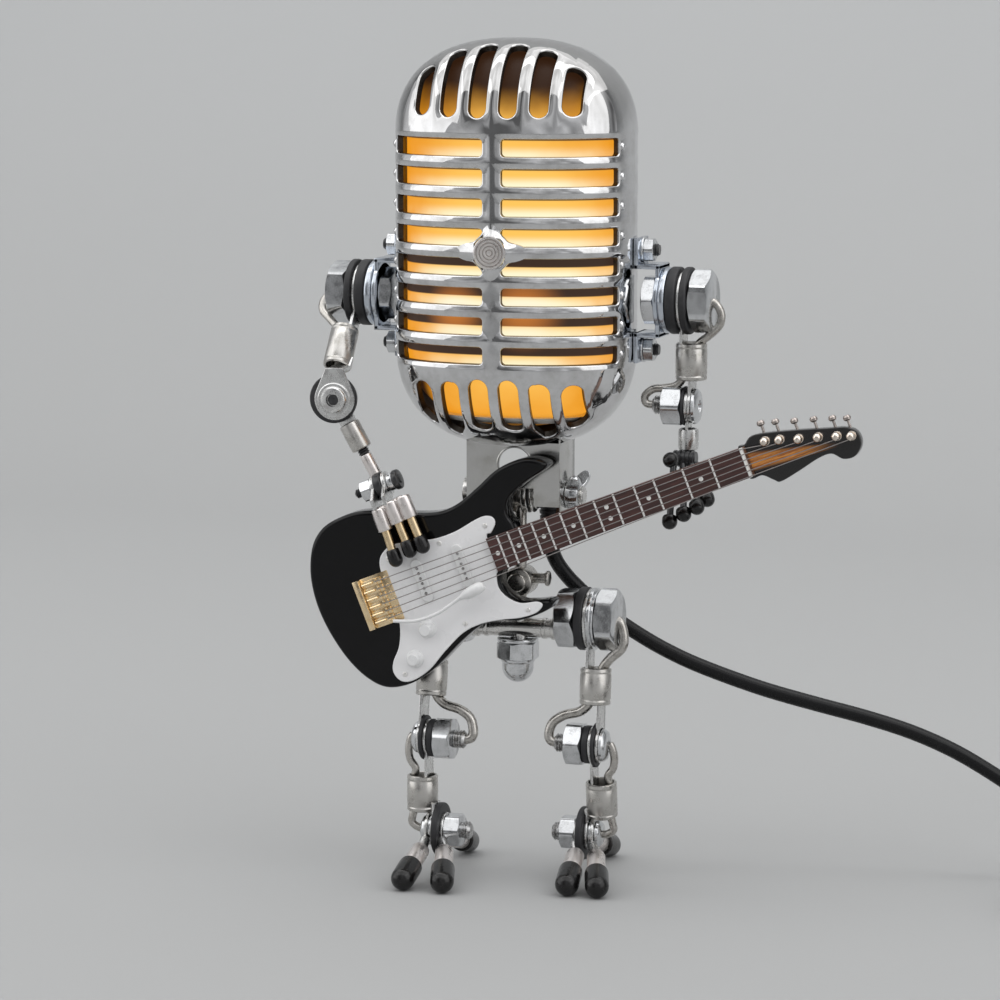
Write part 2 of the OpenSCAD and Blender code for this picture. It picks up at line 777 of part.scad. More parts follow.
// Puts the s, t plane upright, with depth running back from the front.
module guitar_frame(depth) {
    translate([guitar_at.x, -depth, guitar_at.y])
        rotate([0, -guitar_tilt, 0])
            rotate([90, 0, 0])
                children();
}

module guitar_stud() {
    s = 40;
    at = [guitar_x(s, 1), guitar_at.y + s * sin(guitar_tilt) + cos(guitar_tilt)];
    color("gray")
        difference() {
            union() {
                translate([at.x - 3.5, -3.5, at.y - 3.5]) cube([spine_x + 4.5 - at.x + 3.5, 7, 7]);
                translate([at.x, -3.4, at.y]) rotate([90, 0, 0])
                    cylinder(d = 5, h = body_front - body_t - 3.4);
            }
            translate([spine_x, 0, at.y - 10]) cylinder(d = spine_d + 2 * fit, h = 20);
        }
}

module guitar_body() {
    color("black")
        guitar_frame(body_front - body_t)
            difference() {
                linear_extrude(body_t) polygon(smooth_loop(body_points, 3));
                translate([board_start - 0.6, -neck_w_body / 2 - gap, body_t - neck_t + neck_proud])
                    cube([20, neck_w_body + 2 * gap, 10]);
            }
}

module guitar_pickguard() {
    color("white")
        guitar_frame(body_front) {
            difference() {
                linear_extrude(guard_t) polygon(smooth_loop(guard_points, 3));
                translate([board_start - 0.6, -neck_w_body / 2 - gap, -1])
                    cube([20, neck_w_body + 2 * gap, 5]);
            }
            for (p = guard_screws)
                translate([p.x, p.y, guard_t - 0.1]) cylinder(d = 1.6, h = 0.4);
        }
}

module guitar_controls() {
    color("white")
        guitar_frame(body_front + guard_t) {
            for (s = [17.4, 32.2])
                translate([s, 0, 0]) {
                    linear_extrude(0.9)
                        hull() {
                            translate([0, -5.4]) circle(1.9, $fn = 24);
                            translate([0, 5.4]) circle(1.9, $fn = 24);
                        }
                    for (k = [-2.5 : 1 : 2.5])
                        translate([0, k * 1.7, 0.8]) cylinder(d = 0.8, h = 0.3);
                }
            for (p = [[13.2, -15.3], [5.6, -23]])
                translate([p.x, p.y, 0]) {
                    cylinder(d = 6, h = 1);
                    translate([0, 0, 1]) cylinder(d = 4.4, h = 2.2);
                }
        }
}

module guitar_neck() {
    color("sienna")
        guitar_frame(body_front + neck_proud - neck_t)
            union() {
                linear_extrude(neck_t)
                    polygon([
                        [board_start, -neck_w_body / 2], [nut_s + 1.4, -neck_w_nut / 2],
                        [nut_s + 1.4, neck_w_nut / 2], [board_start, neck_w_body / 2]
                    ]);
                linear_extrude(head_t) polygon(smooth_loop(headstock_points, 3));
            }
}

module guitar_fretboard() {
    color("maroon")
        guitar_frame(body_front + neck_proud) {
            linear_extrude(board_t)
                polygon([
                    [board_start - board_over, -neck_w_body / 2], [nut_s, -neck_w_nut / 2],
                    [nut_s, neck_w_nut / 2], [board_start - board_over, neck_w_body / 2]
                ]);
            for (i = [1 : fret_count])
                translate([fret_s(i), 0, board_t - 0.1])
                    linear_extrude(fret_h + 0.1) square([0.8, board_w(fret_s(i)) - 0.3], center = true);
            translate([nut_s, -neck_w_nut / 2, 0]) cube([1.3, neck_w_nut, board_t + fret_h]);
        }
}

function board_w(s) = neck_w_body + (neck_w_nut - neck_w_body) * (s - board_start) / (nut_s - board_start);
// Frets crowd towards the body by a constant ratio.
function fret_s(i) =
    nut_s - (nut_s - board_start - 3.7) * (1 - pow(fret_ratio, i)) / (1 - pow(fret_ratio, fret_count));

module guitar_bridge() {
    color("gold")
        guitar_frame(body_front) {
            translate([-4.8, -9.6, 0]) cube([9.6, 16.8, 1]);
            translate([-4.8, -9.6, 1]) cube([1.4, 16.8, 2.4]);
            for (k = [0 : 5])
                translate([-3.2, string_t(k, 0) - 1.1, 1]) cube([6.4, 2.2, 1.6]);
            translate([3, -8.8, 1]) cylinder(d = 1.6, h = 1.6);
        }
    color("white") bar_along(smooth([for (p = tremolo) guitar_point(p)], 3), 1.3, 8);
}

// The tremolo arm, as [s, t, height above the body].
tremolo = [[3, -8.8, 1.6], [5.4, -9.6, 2.6], [12, -11.4, 4], [20, -11.4, 4.6], [29, -9.2, 4.8],
    [37.6, -8, 4.8]];
function guitar_point(p) = [
    guitar_x(p.x, p.y), -body_front - p.z,
    guitar_at.y + p.x * sin(guitar_tilt) + p.y * cos(guitar_tilt)
];
function string_t(k, s) = (k - 2.5) * (2.55 - 0.75 * s / nut_s) - 1.4 * (1 - s / nut_s);

module guitar_strings() {
    color("silver")
        for (k = [0 : 5]) {
            bar_along([guitar_string(3.2, k, -0.2), guitar_string(nut_s + 0.6, k, 0), guitar_end(5 - k)],
                string_d, 6);
        }
}

function guitar_string(s, k, sink) =
    [guitar_x(s, string_t(k, s)), -string_y - sink,
        guitar_at.y + s * sin(guitar_tilt) + string_t(k, s) * cos(guitar_tilt)];
function guitar_end(i) = let (s = post_s[i] - 1.5, t = post_t[i] - 1.2)
    [guitar_x(s, t), -string_y + 0.9, guitar_at.y + s * sin(guitar_tilt) + t * cos(guitar_tilt)];

module guitar_tuners() {
    face = body_front + neck_proud - neck_t + head_t;
    color("silver")
        guitar_frame(face) {
            for (i = [0 : 5]) {
                translate([post_s[i], post_t[i], 0]) {
                    cylinder(d = 2.2, h = 1.8);
                    translate([0, 0, 2.2]) sphere(d = 2.9);
                }
                translate([post_s[i] - 1.6, post_t[i] + 3.6, -head_t / 2])
                    rotate([-90, 0, 0]) {
                        cylinder(d = 0.9, h = 3.2);
                        translate([0, 0, 3]) cylinder(d = 2.2, h = 1.2);
                    }
            }
        }
}

// ---- Cord ----

module cord_gland() {
    color("black") {
        translate([0, 0, pivot_z])
            difference() {
                union() {
                    translate([clip_x, 0, 0]) rod_x(0, 1.2, 9.4);
                    translate([clip_x, 0, -3.2]) cube([1.2, cord_exit.y, 6.4]);
                }
                translate([clip_x, 0, 0]) rod_x(-1, 3, pivot_d + 2 * fit);
                translate([cord_exit.x, cord_exit.y, -9]) cylinder(d = boot_d - 0.1, h = 20);
            }
        translate([cord_exit.x, cord_exit.y, boot_cone_z])
            cylinder(d = boot_d, h = boot_top_z - boot_cone_z);
        translate([cord_exit.x, cord_exit.y, boot_top_z - boot_h])
            cylinder(d1 = cord_d + 1, d2 = boot_d, h = boot_cone_z - boot_top_z + boot_h);
    }
}

module power_cord() {
    color("black") bar_along(smooth(cord_route, 3), cord_d, 10);
}

module cord_coil() {
    color("black")
        translate([coil_at.x, coil_at.y, coil_h / 2])
            rotate_extrude()
                translate([coil_d / 2, 0])
                    intersection() {
                        square([coil_w, coil_h], center = true);
                        circle(d = coil_w + 1.6);
                    }
}

module mains_plug() {
    color("black")
        translate([coil_at.x + plug_side, coil_at.y - plug_start, coil_h + gap])
            rotate([0, 0, -90]) {
                translate([0, -plug_w / 2, 0]) cube([plug_len, plug_w, plug_t]);
                for (y = [-prong_pitch / 2, prong_pitch / 2])
                    translate([plug_len, y - prong_w / 2, (plug_t - prong_t) / 2])
                        cube([prong_len, prong_w, prong_t]);
                from_to([-plug_cone, 0, 3.2], [0.5, 0, 5])
                    cylinder(d1 = cord_d + 1, d2 = 9, h = norm([plug_cone + 0.5, 0, 1.8]));
            }
}

// ---- Shoulders ----

module shoulder_brackets() {
    color("lightsteelblue")
        for (side = [RIGHT, LEFT])
            mirrored(side)
                translate([0, shoulder_y, shoulder_z])
                    difference() {
                        union() {
                            for (z = [-1, 1])
                                mirror([0, 0, z > 0 ? 0 : 1]) {
                                    translate([flange_x, -6.5, leg_gap])
                                        cube([bracket_t, 13, screw_offset + 4 - leg_gap]);
                                    translate([flange_x, -6.5, leg_gap])
                                        cube([web_x - flange_x + bracket_t, 13, bracket_t]);
                                }
                            translate([web_x, -6.5, -leg_gap]) cube([bracket_t, 13, 2 * leg_gap]);
                            rod_x(web_x, web_x + bracket_t, web_d);
                        }
                        rod_x(web_x - 1, web_x + bracket_t + 1, big_bolt_d + 2 * fit);
                        for (z = [-screw_offset, screw_offset])
                            translate([0, 0, z]) rod_x(flange_x - 5, flange_x + 5, 4 + 2 * fit);
                    }
}

module bracket_fasteners() {
    color("silver")
        for (side = [RIGHT, LEFT], z = [-screw_offset, screw_offset])
            mirrored(side)
                translate([0, shoulder_y, shoulder_z + z]) {
                    rod_x(flange_x, flange_x + 7, 4);
                    ring_x(flange_x + bracket_t + gap, flange_x + bracket_t + 0.8, 8.4, 3.98);
                    hex_x(flange_x + bracket_t + 0.8, flange_x + bracket_t + 4, 7);
                }
}

// The bolt's rod end curls from the hexagon's outer face down into the ferrule.
module shoulder_bolt(top) {
    face = shoulder_hex_x + shoulder_hex_t;
    rod_x(web_x - locknut_t - gap, face, big_bolt_d);
    hex_x(shoulder_hex_x, face, big_af);
    hex_x(web_x - locknut_t - gap, web_x - gap, 15);
    bent_rod([
        [face - 1, 0, 0], [face + 0.7, 0, -0.8], [face + 2.5, 0, -3.8], [face + 2, 0, -7.6],
        [face - 1.4, 0, -11], [upper_arm_x + 2.2, 0, -top - 0.6], [upper_arm_x + 1.9, 0, -top - 4]
    ], thin_rod_d);
}

module shoulder_washers() {
    ring_x(shoulder_washer_in[0], shoulder_washer_in[1], big_washer_d, big_bolt_d + 2 * fit);
    ring_x(shoulder_washer_out[0], shoulder_washer_out[1], big_washer_d, big_bolt_d + 2 * fit);
    ring_x(ring_x[0], ring_x[1], big_washer_d - 0.4, big_bolt_d + 2 * fit);
}

module at_left_shoulder() {
    translate([0, shoulder_y, shoulder_z]) children();
}

// The right upper arm is swung forward, so that its elbow lies at right_elbow.
right_lean = atan2(shoulder_y - right_elbow.y, shoulder_z - right_elbow.z);
right_arm_len = norm([shoulder_y - right_elbow.y, shoulder_z - right_elbow.z]);
right_arm_top = 14.4;
module at_right_shoulder() {
    translate([0, shoulder_y, shoulder_z]) rotate([-right_lean, 0, 0]) mirror([1, 0, 0]) children();
}

module left_shoulder_bolt() { color("silver") at_left_shoulder() shoulder_bolt(arm_ferrule_top); }
module right_shoulder_bolt() { color("silver") at_right_shoulder() shoulder_bolt(right_arm_top); }
module left_shoulder_washers() { color("dimgray") at_left_shoulder() shoulder_washers(); }
module right_shoulder_washers() { color("dimgray") at_right_shoulder() shoulder_washers(); }

// ---- Left arm ----

left_arm_len = shoulder_z - left_elbow_z;
module at_left_elbow() {
    translate([0, shoulder_y, left_elbow_z]) children();
}

module left_upper_arm_lug() {
    color("gray") {
        at_left_shoulder() {
            tongue_down(shoulder_lug_x, 19, big_bolt_d + 2 * fit, 7.6, arm_ferrule_top + 3);
            ferrule(upper_arm_x, arm_ferrule_top);
        }
        at_left_elbow()
            tongue_up(elbow_upper_lug, 11, small_bolt_d + 2 * fit, 8.8,
                left_arm_len - arm_ferrule_top - ferrule_h + 3);
    }
}

module left_elbow_bolt() {
    low = left_arm_len - arm_ferrule_top - ferrule_h;
    color("silver")
        at_left_elbow() {
            rod_x(elbow_thread[0], elbow_button + 0.2, small_bolt_d);
            hex_x(elbow_hex[0], elbow_hex[1], elbow_af);
            rod_x(elbow_button, elbow_button + 2, 11.6);
            ring_x(elbow_washer[0], elbow_washer[1], 12.6, small_bolt_d - 0.02);
            bent_rod([
                [upper_arm_x - 2.5, 0, low + 4], [upper_arm_x - 2.7, 0, low + 0.6],
                [upper_arm_x - 5, 0, low - 2],
                [upper_arm_x - 9, 0, low - 2.9], [elbow_thread[0] - 0.2, 0, 5],
                [elbow_thread[0] - 2.8, 0, 2.8],
                [elbow_thread[0] - 2.4, 0, 0.4], [elbow_thread[0] + 0.6, 0, 0]
            ], thin_rod_d);
        }
}

left_ferrule_h = 7;
left_wrist = [elbow_fore_lug + 0.5, shoulder_y, left_elbow_z - left_fore_top - 2];

// The hand's stem, from the forearm's ferrule down to the palm.
module left_stem(d, more) {
    foot = [left_wrist.x, left_palm.y + 0.6, left_palm.z];
    bar(left_wrist + more * unit(left_wrist - foot), foot, d);
}

module left_forearm_lug() {
    color("gray") {
        at_left_elbow()
            tongue_down(elbow_fore_lug, 11, small_bolt_d + 2 * fit, 5.4, left_fore_top + 1);
        difference() {
            translate([left_wrist.x, shoulder_y, left_elbow_z - left_fore_top - left_ferrule_h])
                cylinder(d = 6.6, h = left_ferrule_h);
            left_stem(left_wrist_d + 2 * fit, gap);
        }
    }
}

// Fingers and thumb, as [start, tip] from the palm's middle.
left_fingers = [
    [[-3.9, -1.6, -1.4], [-2.7, -11, -19]],
    [[-0.9, -1.6, -1.4], [1.9, -11, -16.4]],
    [[2.1, -1.6, -1.4], [5.9, -10.6, -13.6]],
    [[4.9, -1.6, -1.2], [10.3, -9.2, -10.4]],
    [[-2.4, -1.4, 0.6], [-2.3, -12, 1]]
];
finger_d = 2.2;
left_cap_d = 4.4;
left_cap_len = 1.8;

module left_hand() {
    color("gray") {
        left_stem(left_wrist_d, 0);
        translate(left_palm) {
            rod_x(-5.6, 6.4, 5.4);
            for (finger = left_fingers)
                from_to(finger[0], finger[1])
                    cylinder(d = finger_d, h = norm(finger[1] - finger[0]) - 0.6);
        }
    }
}

module left_finger_tips() {
    color("black")
        for (finger = left_fingers)
            translate(left_palm) from_to(finger[0], finger[1])
                translate([0, 0, norm(finger[1] - finger[0])])
                    rubber_cap(left_cap_d, left_cap_len, finger_d + 2 * fit, left_cap_len - 0.6 + gap);
}

// ---- Right arm ----

// The elbow's axis runs along Y: rings lie across it.
module ring_y(y0, y1, d, bore) {
    translate([right_elbow.x, 0, right_elbow.z])
        rotate([90, 0, 0])
            difference() {
                translate([0, 0, -y1]) cylinder(d = d, h = y1 - y0);
                if (bore > 0) translate([0, 0, -y1 - 1]) cylinder(d = bore, h = y1 - y0 + 2);
            }
}

// The flattened end of the upper arm, bent forward into the elbow's ring, as [y, z] from the elbow.
right_strip = [
    [9.1, 12.8], [6.4, 10.4], [right_lug_y - 1.2 - right_elbow.y, 9.6],
    [right_lug_y - 1.2 - right_elbow.y, 3.8], [right_lug_y - right_elbow.y, 3.8],
    [right_lug_y - right_elbow.y, 8.4], [7.4, 8.9], [10, 12]
];

module right_upper_arm_lug() {
    color("gray") {
        at_right_shoulder() {
            tongue_down(shoulder_lug_x, 19, big_bolt_d + 2 * fit, 6.6, right_arm_top + 3);
            ferrule(upper_arm_x, right_arm_top, right_ferrule_d, right_ferrule_h, 0.9);
        }
        ring_y(right_lug_y - 1.2, right_lug_y, 12.8, small_bolt_d + 2 * fit);
        translate([-upper_arm_x - 4, right_elbow.y, right_elbow.z])
            rotate([90, 0, 90])
                linear_extrude(8) polygon(right_strip);
    }
}

module right_elbow_bolt() {
    color("silver") {
        ring_y(right_lug_y - 3.2, right_lug_y - 1.2 - gap, 9.6, 0);
        ring_y(right_lug_y - 1.4, right_fore_y + 5.6, small_bolt_d, 0);
        ring_y(right_fore_y + 1.2 + gap, right_fore_y + 5, 10.4, small_bolt_d - 0.02);
    }
    color("black") ring_y(right_washer_y[0], right_washer_y[1], 15.8, small_bolt_d - 0.02);
}

// Down the forearm from the elbow, in its own plane.
module at_forearm(y) {
    translate([right_elbow.x, y, right_elbow.z]) rotate([0, -forearm_turn, 0]) children();
}

module right_forearm_lug() {
    color("gray") {
        difference() {
            union() {
                at_forearm(right_fore_y) rotate([-90, 0, 0]) cylinder(d = 12.4, h = 1.2);
                at_forearm(right_fore_y) translate([-2.8, 0, -fore_ferrule[0] - 2])
                    cube([5.6, 1.2, fore_ferrule[0]]);
            }
            at_forearm(right_fore_y - 1) rotate([-90, 0, 0]) cylinder(d = small_bolt_d + 2 * fit, h = 4);
        }
        at_forearm(right_wrist.y)
            translate([0, 0, -fore_ferrule[1]])
                difference() {
                    cylinder(d = fore_ferrule_d, h = fore_ferrule[1] - fore_ferrule[0]);
                    translate([0, 0, -1]) cylinder(d = stud_d + 2 * fit, h = 6);
                }
    }
}

module right_wrist_stud() {
    color("black")
        difference() {
            union() {
                at_forearm(right_wrist.y)
                    translate([0, 0, -forearm_len + stud_stop])
                        cylinder(d = stud_d, h = forearm_len - stud_stop - fore_ferrule[1] + 4.4);
                at_wrist() {
                    rod_x(-wrist_disc_t / 2, wrist_disc_t / 2, wrist_disc_d);
                    translate([-wrist_disc_t / 2, -1.8, 2]) cube([wrist_disc_t, 3.6, 4.6]);
                }
            }
            at_wrist() rod_x(-5, 5, 3 + 2 * fit);
        }
}

module at_wrist() {
    translate(right_wrist) rotate([0, -wrist_rise, 0]) children();
}

module right_hand() {
    plate = wrist_disc_t / 2 + gap;
    color("lightgray") {
        at_wrist() {
            rod_x(-9.4, 7.2, 3);
            hex_x(-plate - 5.2, -plate - 1.4, 6.6);
            rod_x(plate + 1.4, plate + 3.4, 6);
            rod_x(plate + 3.4, plate + 5.4, 6.6);
            for (x = [-plate - 1.3, plate])
                difference() {
                    union() {
                        rod_x(x, x + 1.3, 8);
                        translate([x, -8.6, -6.4]) cube([1.3, 8.6, 6.4]);
                    }
                    rod_x(x - 1, x + 2.4, 2.98);
                }
        }
        bar(sleeve_top[0], sleeve_top[2], 2.6);
        for (i = [0 : 2])
            from_to(sleeve_top[i], finger_tip[i])
                difference() {
                    translate([0, 0, -1.6]) cylinder(d = sleeve_d, h = sleeve_h);
                    translate([0, 0, 2]) cylinder(d = pin_d + 2 * fit, h = sleeve_h);
                }
    }
}

module right_finger_pins() {
    color("goldenrod")
        for (i = [0 : 2])
            from_to(sleeve_top[i], finger_tip[i])
                translate([0, 0, 2 + gap])
                    cylinder(d = pin_d, h = norm(finger_tip[i] - sleeve_top[i]) - 2 - gap - 2);
}

module right_finger_tips() {
    color("black")
        for (i = [0 : 2])
            from_to(sleeve_top[i], finger_tip[i])
                translate([0, 0, norm(finger_tip[i] - sleeve_top[i])])
                    rubber_cap(tip_d, 4, pin_d + 2 * fit, 2 + gap);
}

// ---- Legs ----

module at_hip(side) {
    translate([0, 0, hip_z]) rotate([-thigh_lean(side), 0, 0]) mirrored(side) children();
}

module at_knee(side) {
    translate([0, knee_y[side_index(side)], knee_z]) rotate([-shin_lean(side), 0, 0])
        mirrored(side) children();
}

module at_knee_of_thigh(side) {
    translate([0, knee_y[side_index(side)], knee_z]) rotate([-thigh_lean(side), 0, 0])
        mirrored(side) children();
}

module at_ankle_of_shin(side) {
    translate([0, ankle_y[side_index(side)], ankle_z]) rotate([-shin_lean(side), 0, 0])
        mirrored(side) children();
}

module at_ankle(side) {
    translate([0, ankle_y[side_index(side)], ankle_z]) mirrored(side) children();
}

module hip_bolt(side) {
    face = hip_hex + hip_hex_t;
    color("silver")
        at_hip(side) {
            rod_x(nut_in + 1.6, face, hip_bolt_d);
            hex_x(hip_hex, face, big_af, 30);
            rod_x(hip_lug + lug_t + gap, hip_hex - 0.8, 20.4);
            rod_x(hip_hex - 0.8, hip_hex, 18.6);
            bent_rod([
                [face - 1, 0, 0], [face + 0.5, 0, -1], [face + 1.7, 0, -5], [face + 1.2, 0, -9],
                [face - 2.6, 0, -12.6], [thigh_x + 2.2, 0, -thigh_top - 0.4],
                [thigh_x + 1.9, 0, -thigh_top - 4]
            ], rod_d);
        }
}

module leg_washers(side) {
    color("dimgray") {
        at_hip(side) ring_x(hip_washer[0], hip_washer[1], big_washer_d - 1, hip_bolt_d + 2 * fit);
        at_knee_of_thigh(side) {
            ring_x(knee_washer[0] + gap, knee_washer[1], 12.4, small_bolt_d + 2 * fit);
            ring_x(knee_spacer[0], knee_spacer[1], 14.6, small_bolt_d + 2 * fit);
        }
    }
}

module thigh_ferrule(side) {
    color("gray") {
        at_hip(side) {
            tongue_down(hip_lug, 19.6, hip_bolt_d + 2 * fit, 8.4, thigh_top + 3);
            ferrule(thigh_x, thigh_top);
        }
        at_knee_of_thigh(side)
            tongue_up(knee_thigh_lug, 11.6, small_bolt_d + 2 * fit, 8.4,
                thigh_len(side) - thigh_top - ferrule_h + 3);
    }
}

module knee_bolt(side) {
    low = thigh_len(side) - thigh_top - ferrule_h;
    color("silver")
        at_knee_of_thigh(side) {
            rod_x(knee_thread[0], knee_dome + 1.6, small_bolt_d);
            hex_x(knee_hex[0], knee_hex[1], knee_af);
            bent_rod([
                [thigh_x - 1.7, 0, low + 4], [thigh_x - 1.9, 0, low + 0.4], [22.4, 0, low - 2.6],
                [17.4, 0, low - 4],
                [13.6, 0, low - 6.6], [12.3, 0, 2.8], [13, 0, 0.6], [knee_thread[0] + 0.6, 0, 0]
            ], rod_d);
        }
}

module shin_ferrule(side) {
    end = shin_len(side) - shin_top - ferrule_h;
    color("gray") {
        at_knee(side) {
            tongue_down(knee_shin_lug, 12, small_bolt_d + 2 * fit, 7, shin_top + 3);
            ferrule(shin_x, shin_top);
            difference() {
                rod_x(knee_dome, knee_dome + 2.4, 10.6);
                rod_x(knee_dome - 1, knee_dome + 1.7, small_bolt_d + 2 * fit);
            }
            bent_rod([
                [knee_dome + 2.6, 0, 0.6], [knee_dome + 3.4, 0, -0.6], [shin_x + 4.7, 0, -4],
                [shin_x + 4.2, 0, -7.6],
                [shin_x + 2.4, 0, -10.4], [shin_x + 2.7, 0, -shin_top - 1], [shin_x + 2.9, 0, -shin_top - 4]
            ], thin_rod_d);
        }
        at_ankle_of_shin(side) {
            tongue_up(ankle_shin_lug, 11, small_bolt_d + 2 * fit, 6.4, end + 3);
            difference() {
                rod_x(ankle_dome, ankle_dome + 2, 8.8);
                rod_x(ankle_dome - 1, ankle_dome + 1.3, small_bolt_d + 2 * fit);
            }
            bent_rod([
                [ankle_dome + 1.4, 0, 0], [ankle_dome + 3.2, 0, 0], [shin_x + 3.6, 0, 1.6],
                [shin_x + 3.4, 0, 4], [shin_x + 2.9, 0, end], [shin_x + 2.9, 0, end + 3]
            ], thin_rod_d);
        }
    }
}

// Toes and heel, as seen from the ankle: the ball's middle and the ring's plane.
function toes(side) = let (i = side_index(side)) [
    [[toe_in[i], -toe_reach, ball_z - ankle_z], toe_plate_in],
    [[toe_out[i], -toe_reach, ball_z - ankle_z], toe_plate_out],
    [[heel_x, heel_reach, ball_z - ankle_z], toe_plate_in]
];
toe_start = 9.5;
function toe_root(toe) = [
    toe[1] + lug_t / 2 + (toe[0].x - toe[1] - lug_t / 2) * toe_start / toe_reach,
    toe[0].y > 0 ? toe_start : -toe_start,
    toe[0].z * toe_start / toe_reach - 1.6
];
cap_len = 12.4;

module foot(side) {
    color("silver")
        at_ankle(side) {
            rod_x(ankle_thread[0], ankle_dome + 1.2, small_bolt_d);
            hex_x(ankle_hex[0], ankle_hex[1], ankle_af);
            rod_x(ankle_disc[0], ankle_disc[1], ankle_disc_d);
            rod_x(ankle_washer[0], ankle_washer[1], 9.4);
            for (x = [toe_plate_in, toe_plate_out])
                rod_x(x, x + lug_t, 11);
            for (toe = toes(side)) {
                root = toe_root(toe);
                bar([toe[1] + lug_t / 2, root.y * 0.5, root.z * 0.5], root, 3.4);
                bar(root, root + 0.75 * (toe[0] - root), 3.4);
                bar(root, toe[0] - (cap_len - toe_d / 2 + gap) * unit(toe[0] - root), collar_d);
            }
        }
}

module toe_caps(side) {
    color("black")
        at_ankle(side)
            for (toe = toes(side)) {
                root = toe_root(toe);
                span = norm(toe[0] - root);
                difference() {
                    from_to(root, toe[0])
                        translate([0, 0, span])
                            rubber_cap(toe_d, cap_len - toe_d / 2, 3.4 + 2 * fit,
                                cap_len - toe_d / 2 - 0.25 * span + gap);
                    translate([toe[0].x, toe[0].y, -ankle_z - 5]) cube([20, 20, 10], center = true);
                }
            }
}

module right_hip_bolt() { hip_bolt(RIGHT); }
module right_leg_washers() { leg_washers(RIGHT); }
module right_thigh_ferrule() { thigh_ferrule(RIGHT); }
module right_knee_bolt() { knee_bolt(RIGHT); }
module right_shin_ferrule() { shin_ferrule(RIGHT); }
module right_foot() { foot(RIGHT); }
module right_toe_caps() { toe_caps(RIGHT); }
module left_hip_bolt() { hip_bolt(LEFT); }
module left_leg_washers() { leg_washers(LEFT); }
module left_thigh_ferrule() { thigh_ferrule(LEFT); }
module left_knee_bolt() { knee_bolt(LEFT); }
module left_shin_ferrule() { shin_ferrule(LEFT); }
module left_foot() { foot(LEFT); }
module left_toe_caps() { toe_caps(LEFT); }

translate(-origin) {
    head_front_shell();
    head_rear_shell();
    light_diffuser();
    medallion();
    lamp_holder();
    bulb();
    neck_yoke();
    shoulder_brackets();
    bracket_fasteners();
    switch_housing();
    switch_rocker();
    neck_wing_nut();
    spine_post();
    neck_pivot_bolt();
    pelvis_tube();
    hip_inner_nuts();
    acorn_nut();
    guitar_stud();
    guitar_body();
    guitar_pickguard();
    guitar_controls();
    guitar_neck();
    guitar_fretboard();
    guitar_bridge();
    guitar_strings();
    guitar_tuners();
    cord_gland();
    power_cord();
    cord_coil();
    mains_plug();
    right_shoulder_bolt();
    right_shoulder_washers();
    right_upper_arm_lug();
    right_elbow_bolt();
    right_forearm_lug();
    right_wrist_stud();
    right_hand();
    right_finger_pins();
    right_finger_tips();
    left_shoulder_bolt();
    left_shoulder_washers();
    left_upper_arm_lug();
    left_elbow_bolt();
    left_forearm_lug();
    left_hand();
    left_finger_tips();
    right_hip_bolt();
    right_leg_washers();
    right_thigh_ferrule();
    right_knee_bolt();
    right_shin_ferrule();
    right_foot();
    right_toe_caps();
    left_hip_bolt();
    left_leg_washers();
    left_thigh_ferrule();
    left_knee_bolt();
    left_shin_ferrule();
    left_foot();
    left_toe_caps();
}
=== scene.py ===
# %% [markdown]
# # Robot desk lamp
# A desk lamp in the shape of a small robot. Its head is a chrome microphone with an amber light
# inside. The limbs are bolts, rubber washers, crimped ferrules and bent rods, and it plays a
# miniature electric guitar. The robot faces -Y, and +X is its left-hand side.
#
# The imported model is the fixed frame. Every piece below is built in millimetres from the middle
# of the robot's feet, and moved into the frame's metres when it is finished.

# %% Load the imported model
import math

import bmesh
import bpy
import numpy as np
from mathutils import Matrix, Vector
from mathutils.geometry import tessellate_polygon


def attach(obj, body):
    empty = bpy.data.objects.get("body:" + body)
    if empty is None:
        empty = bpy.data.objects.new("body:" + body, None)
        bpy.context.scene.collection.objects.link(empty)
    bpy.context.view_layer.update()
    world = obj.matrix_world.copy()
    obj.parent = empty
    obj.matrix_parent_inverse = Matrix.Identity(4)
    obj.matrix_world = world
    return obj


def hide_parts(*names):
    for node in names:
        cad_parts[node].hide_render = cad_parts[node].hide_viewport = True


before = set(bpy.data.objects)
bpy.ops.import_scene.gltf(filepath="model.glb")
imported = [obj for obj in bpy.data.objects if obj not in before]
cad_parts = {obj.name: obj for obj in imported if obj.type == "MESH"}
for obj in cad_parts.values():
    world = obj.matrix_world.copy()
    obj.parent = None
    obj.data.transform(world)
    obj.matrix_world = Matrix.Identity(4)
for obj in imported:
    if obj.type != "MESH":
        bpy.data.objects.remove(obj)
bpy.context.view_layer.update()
MM = 0.001
ORIGIN = Vector((24.825, -3.0, 0.0))


def place(x, y, z):
    """A point of the robot, in millimetres, as a point of the frame, in metres."""
    return (Vector((x, y, z)) - ORIGIN) * MM


# %% [markdown]
# ## Camera
# The camera stands a little to the robot's left and slightly above it, 1.3 m away. A short lens
# close by would swell the head and shrink the feet. A long lens from afar gives the nearly flat
# view of a product shot, so it is used here. It is aimed by turning its Z axis onto the line
# back to the camera, which needs no constraint.

# %% Camera
AZIMUTH = math.radians(17)
ELEVATION = math.radians(8)
DISTANCE = 1300.0
AIM = (-10.0, 14.7, 120.7)
camera_data = bpy.data.cameras.new("camera")
camera = bpy.data.objects.new("camera", camera_data)
bpy.context.scene.collection.objects.link(camera)
back = Vector((math.sin(AZIMUTH) * math.cos(ELEVATION), -math.cos(AZIMUTH) * math.cos(ELEVATION),
               math.sin(ELEVATION)))
camera.location = place(*AIM) + back * DISTANCE * MM
camera.rotation_euler = back.to_track_quat("Z", "Y").to_euler()
camera_data.sensor_width = 36
camera_data.lens = 142.3
camera_data.clip_end = 20
bpy.context.scene.camera = camera
print("camera at", [round(c, 3) for c in camera.location])

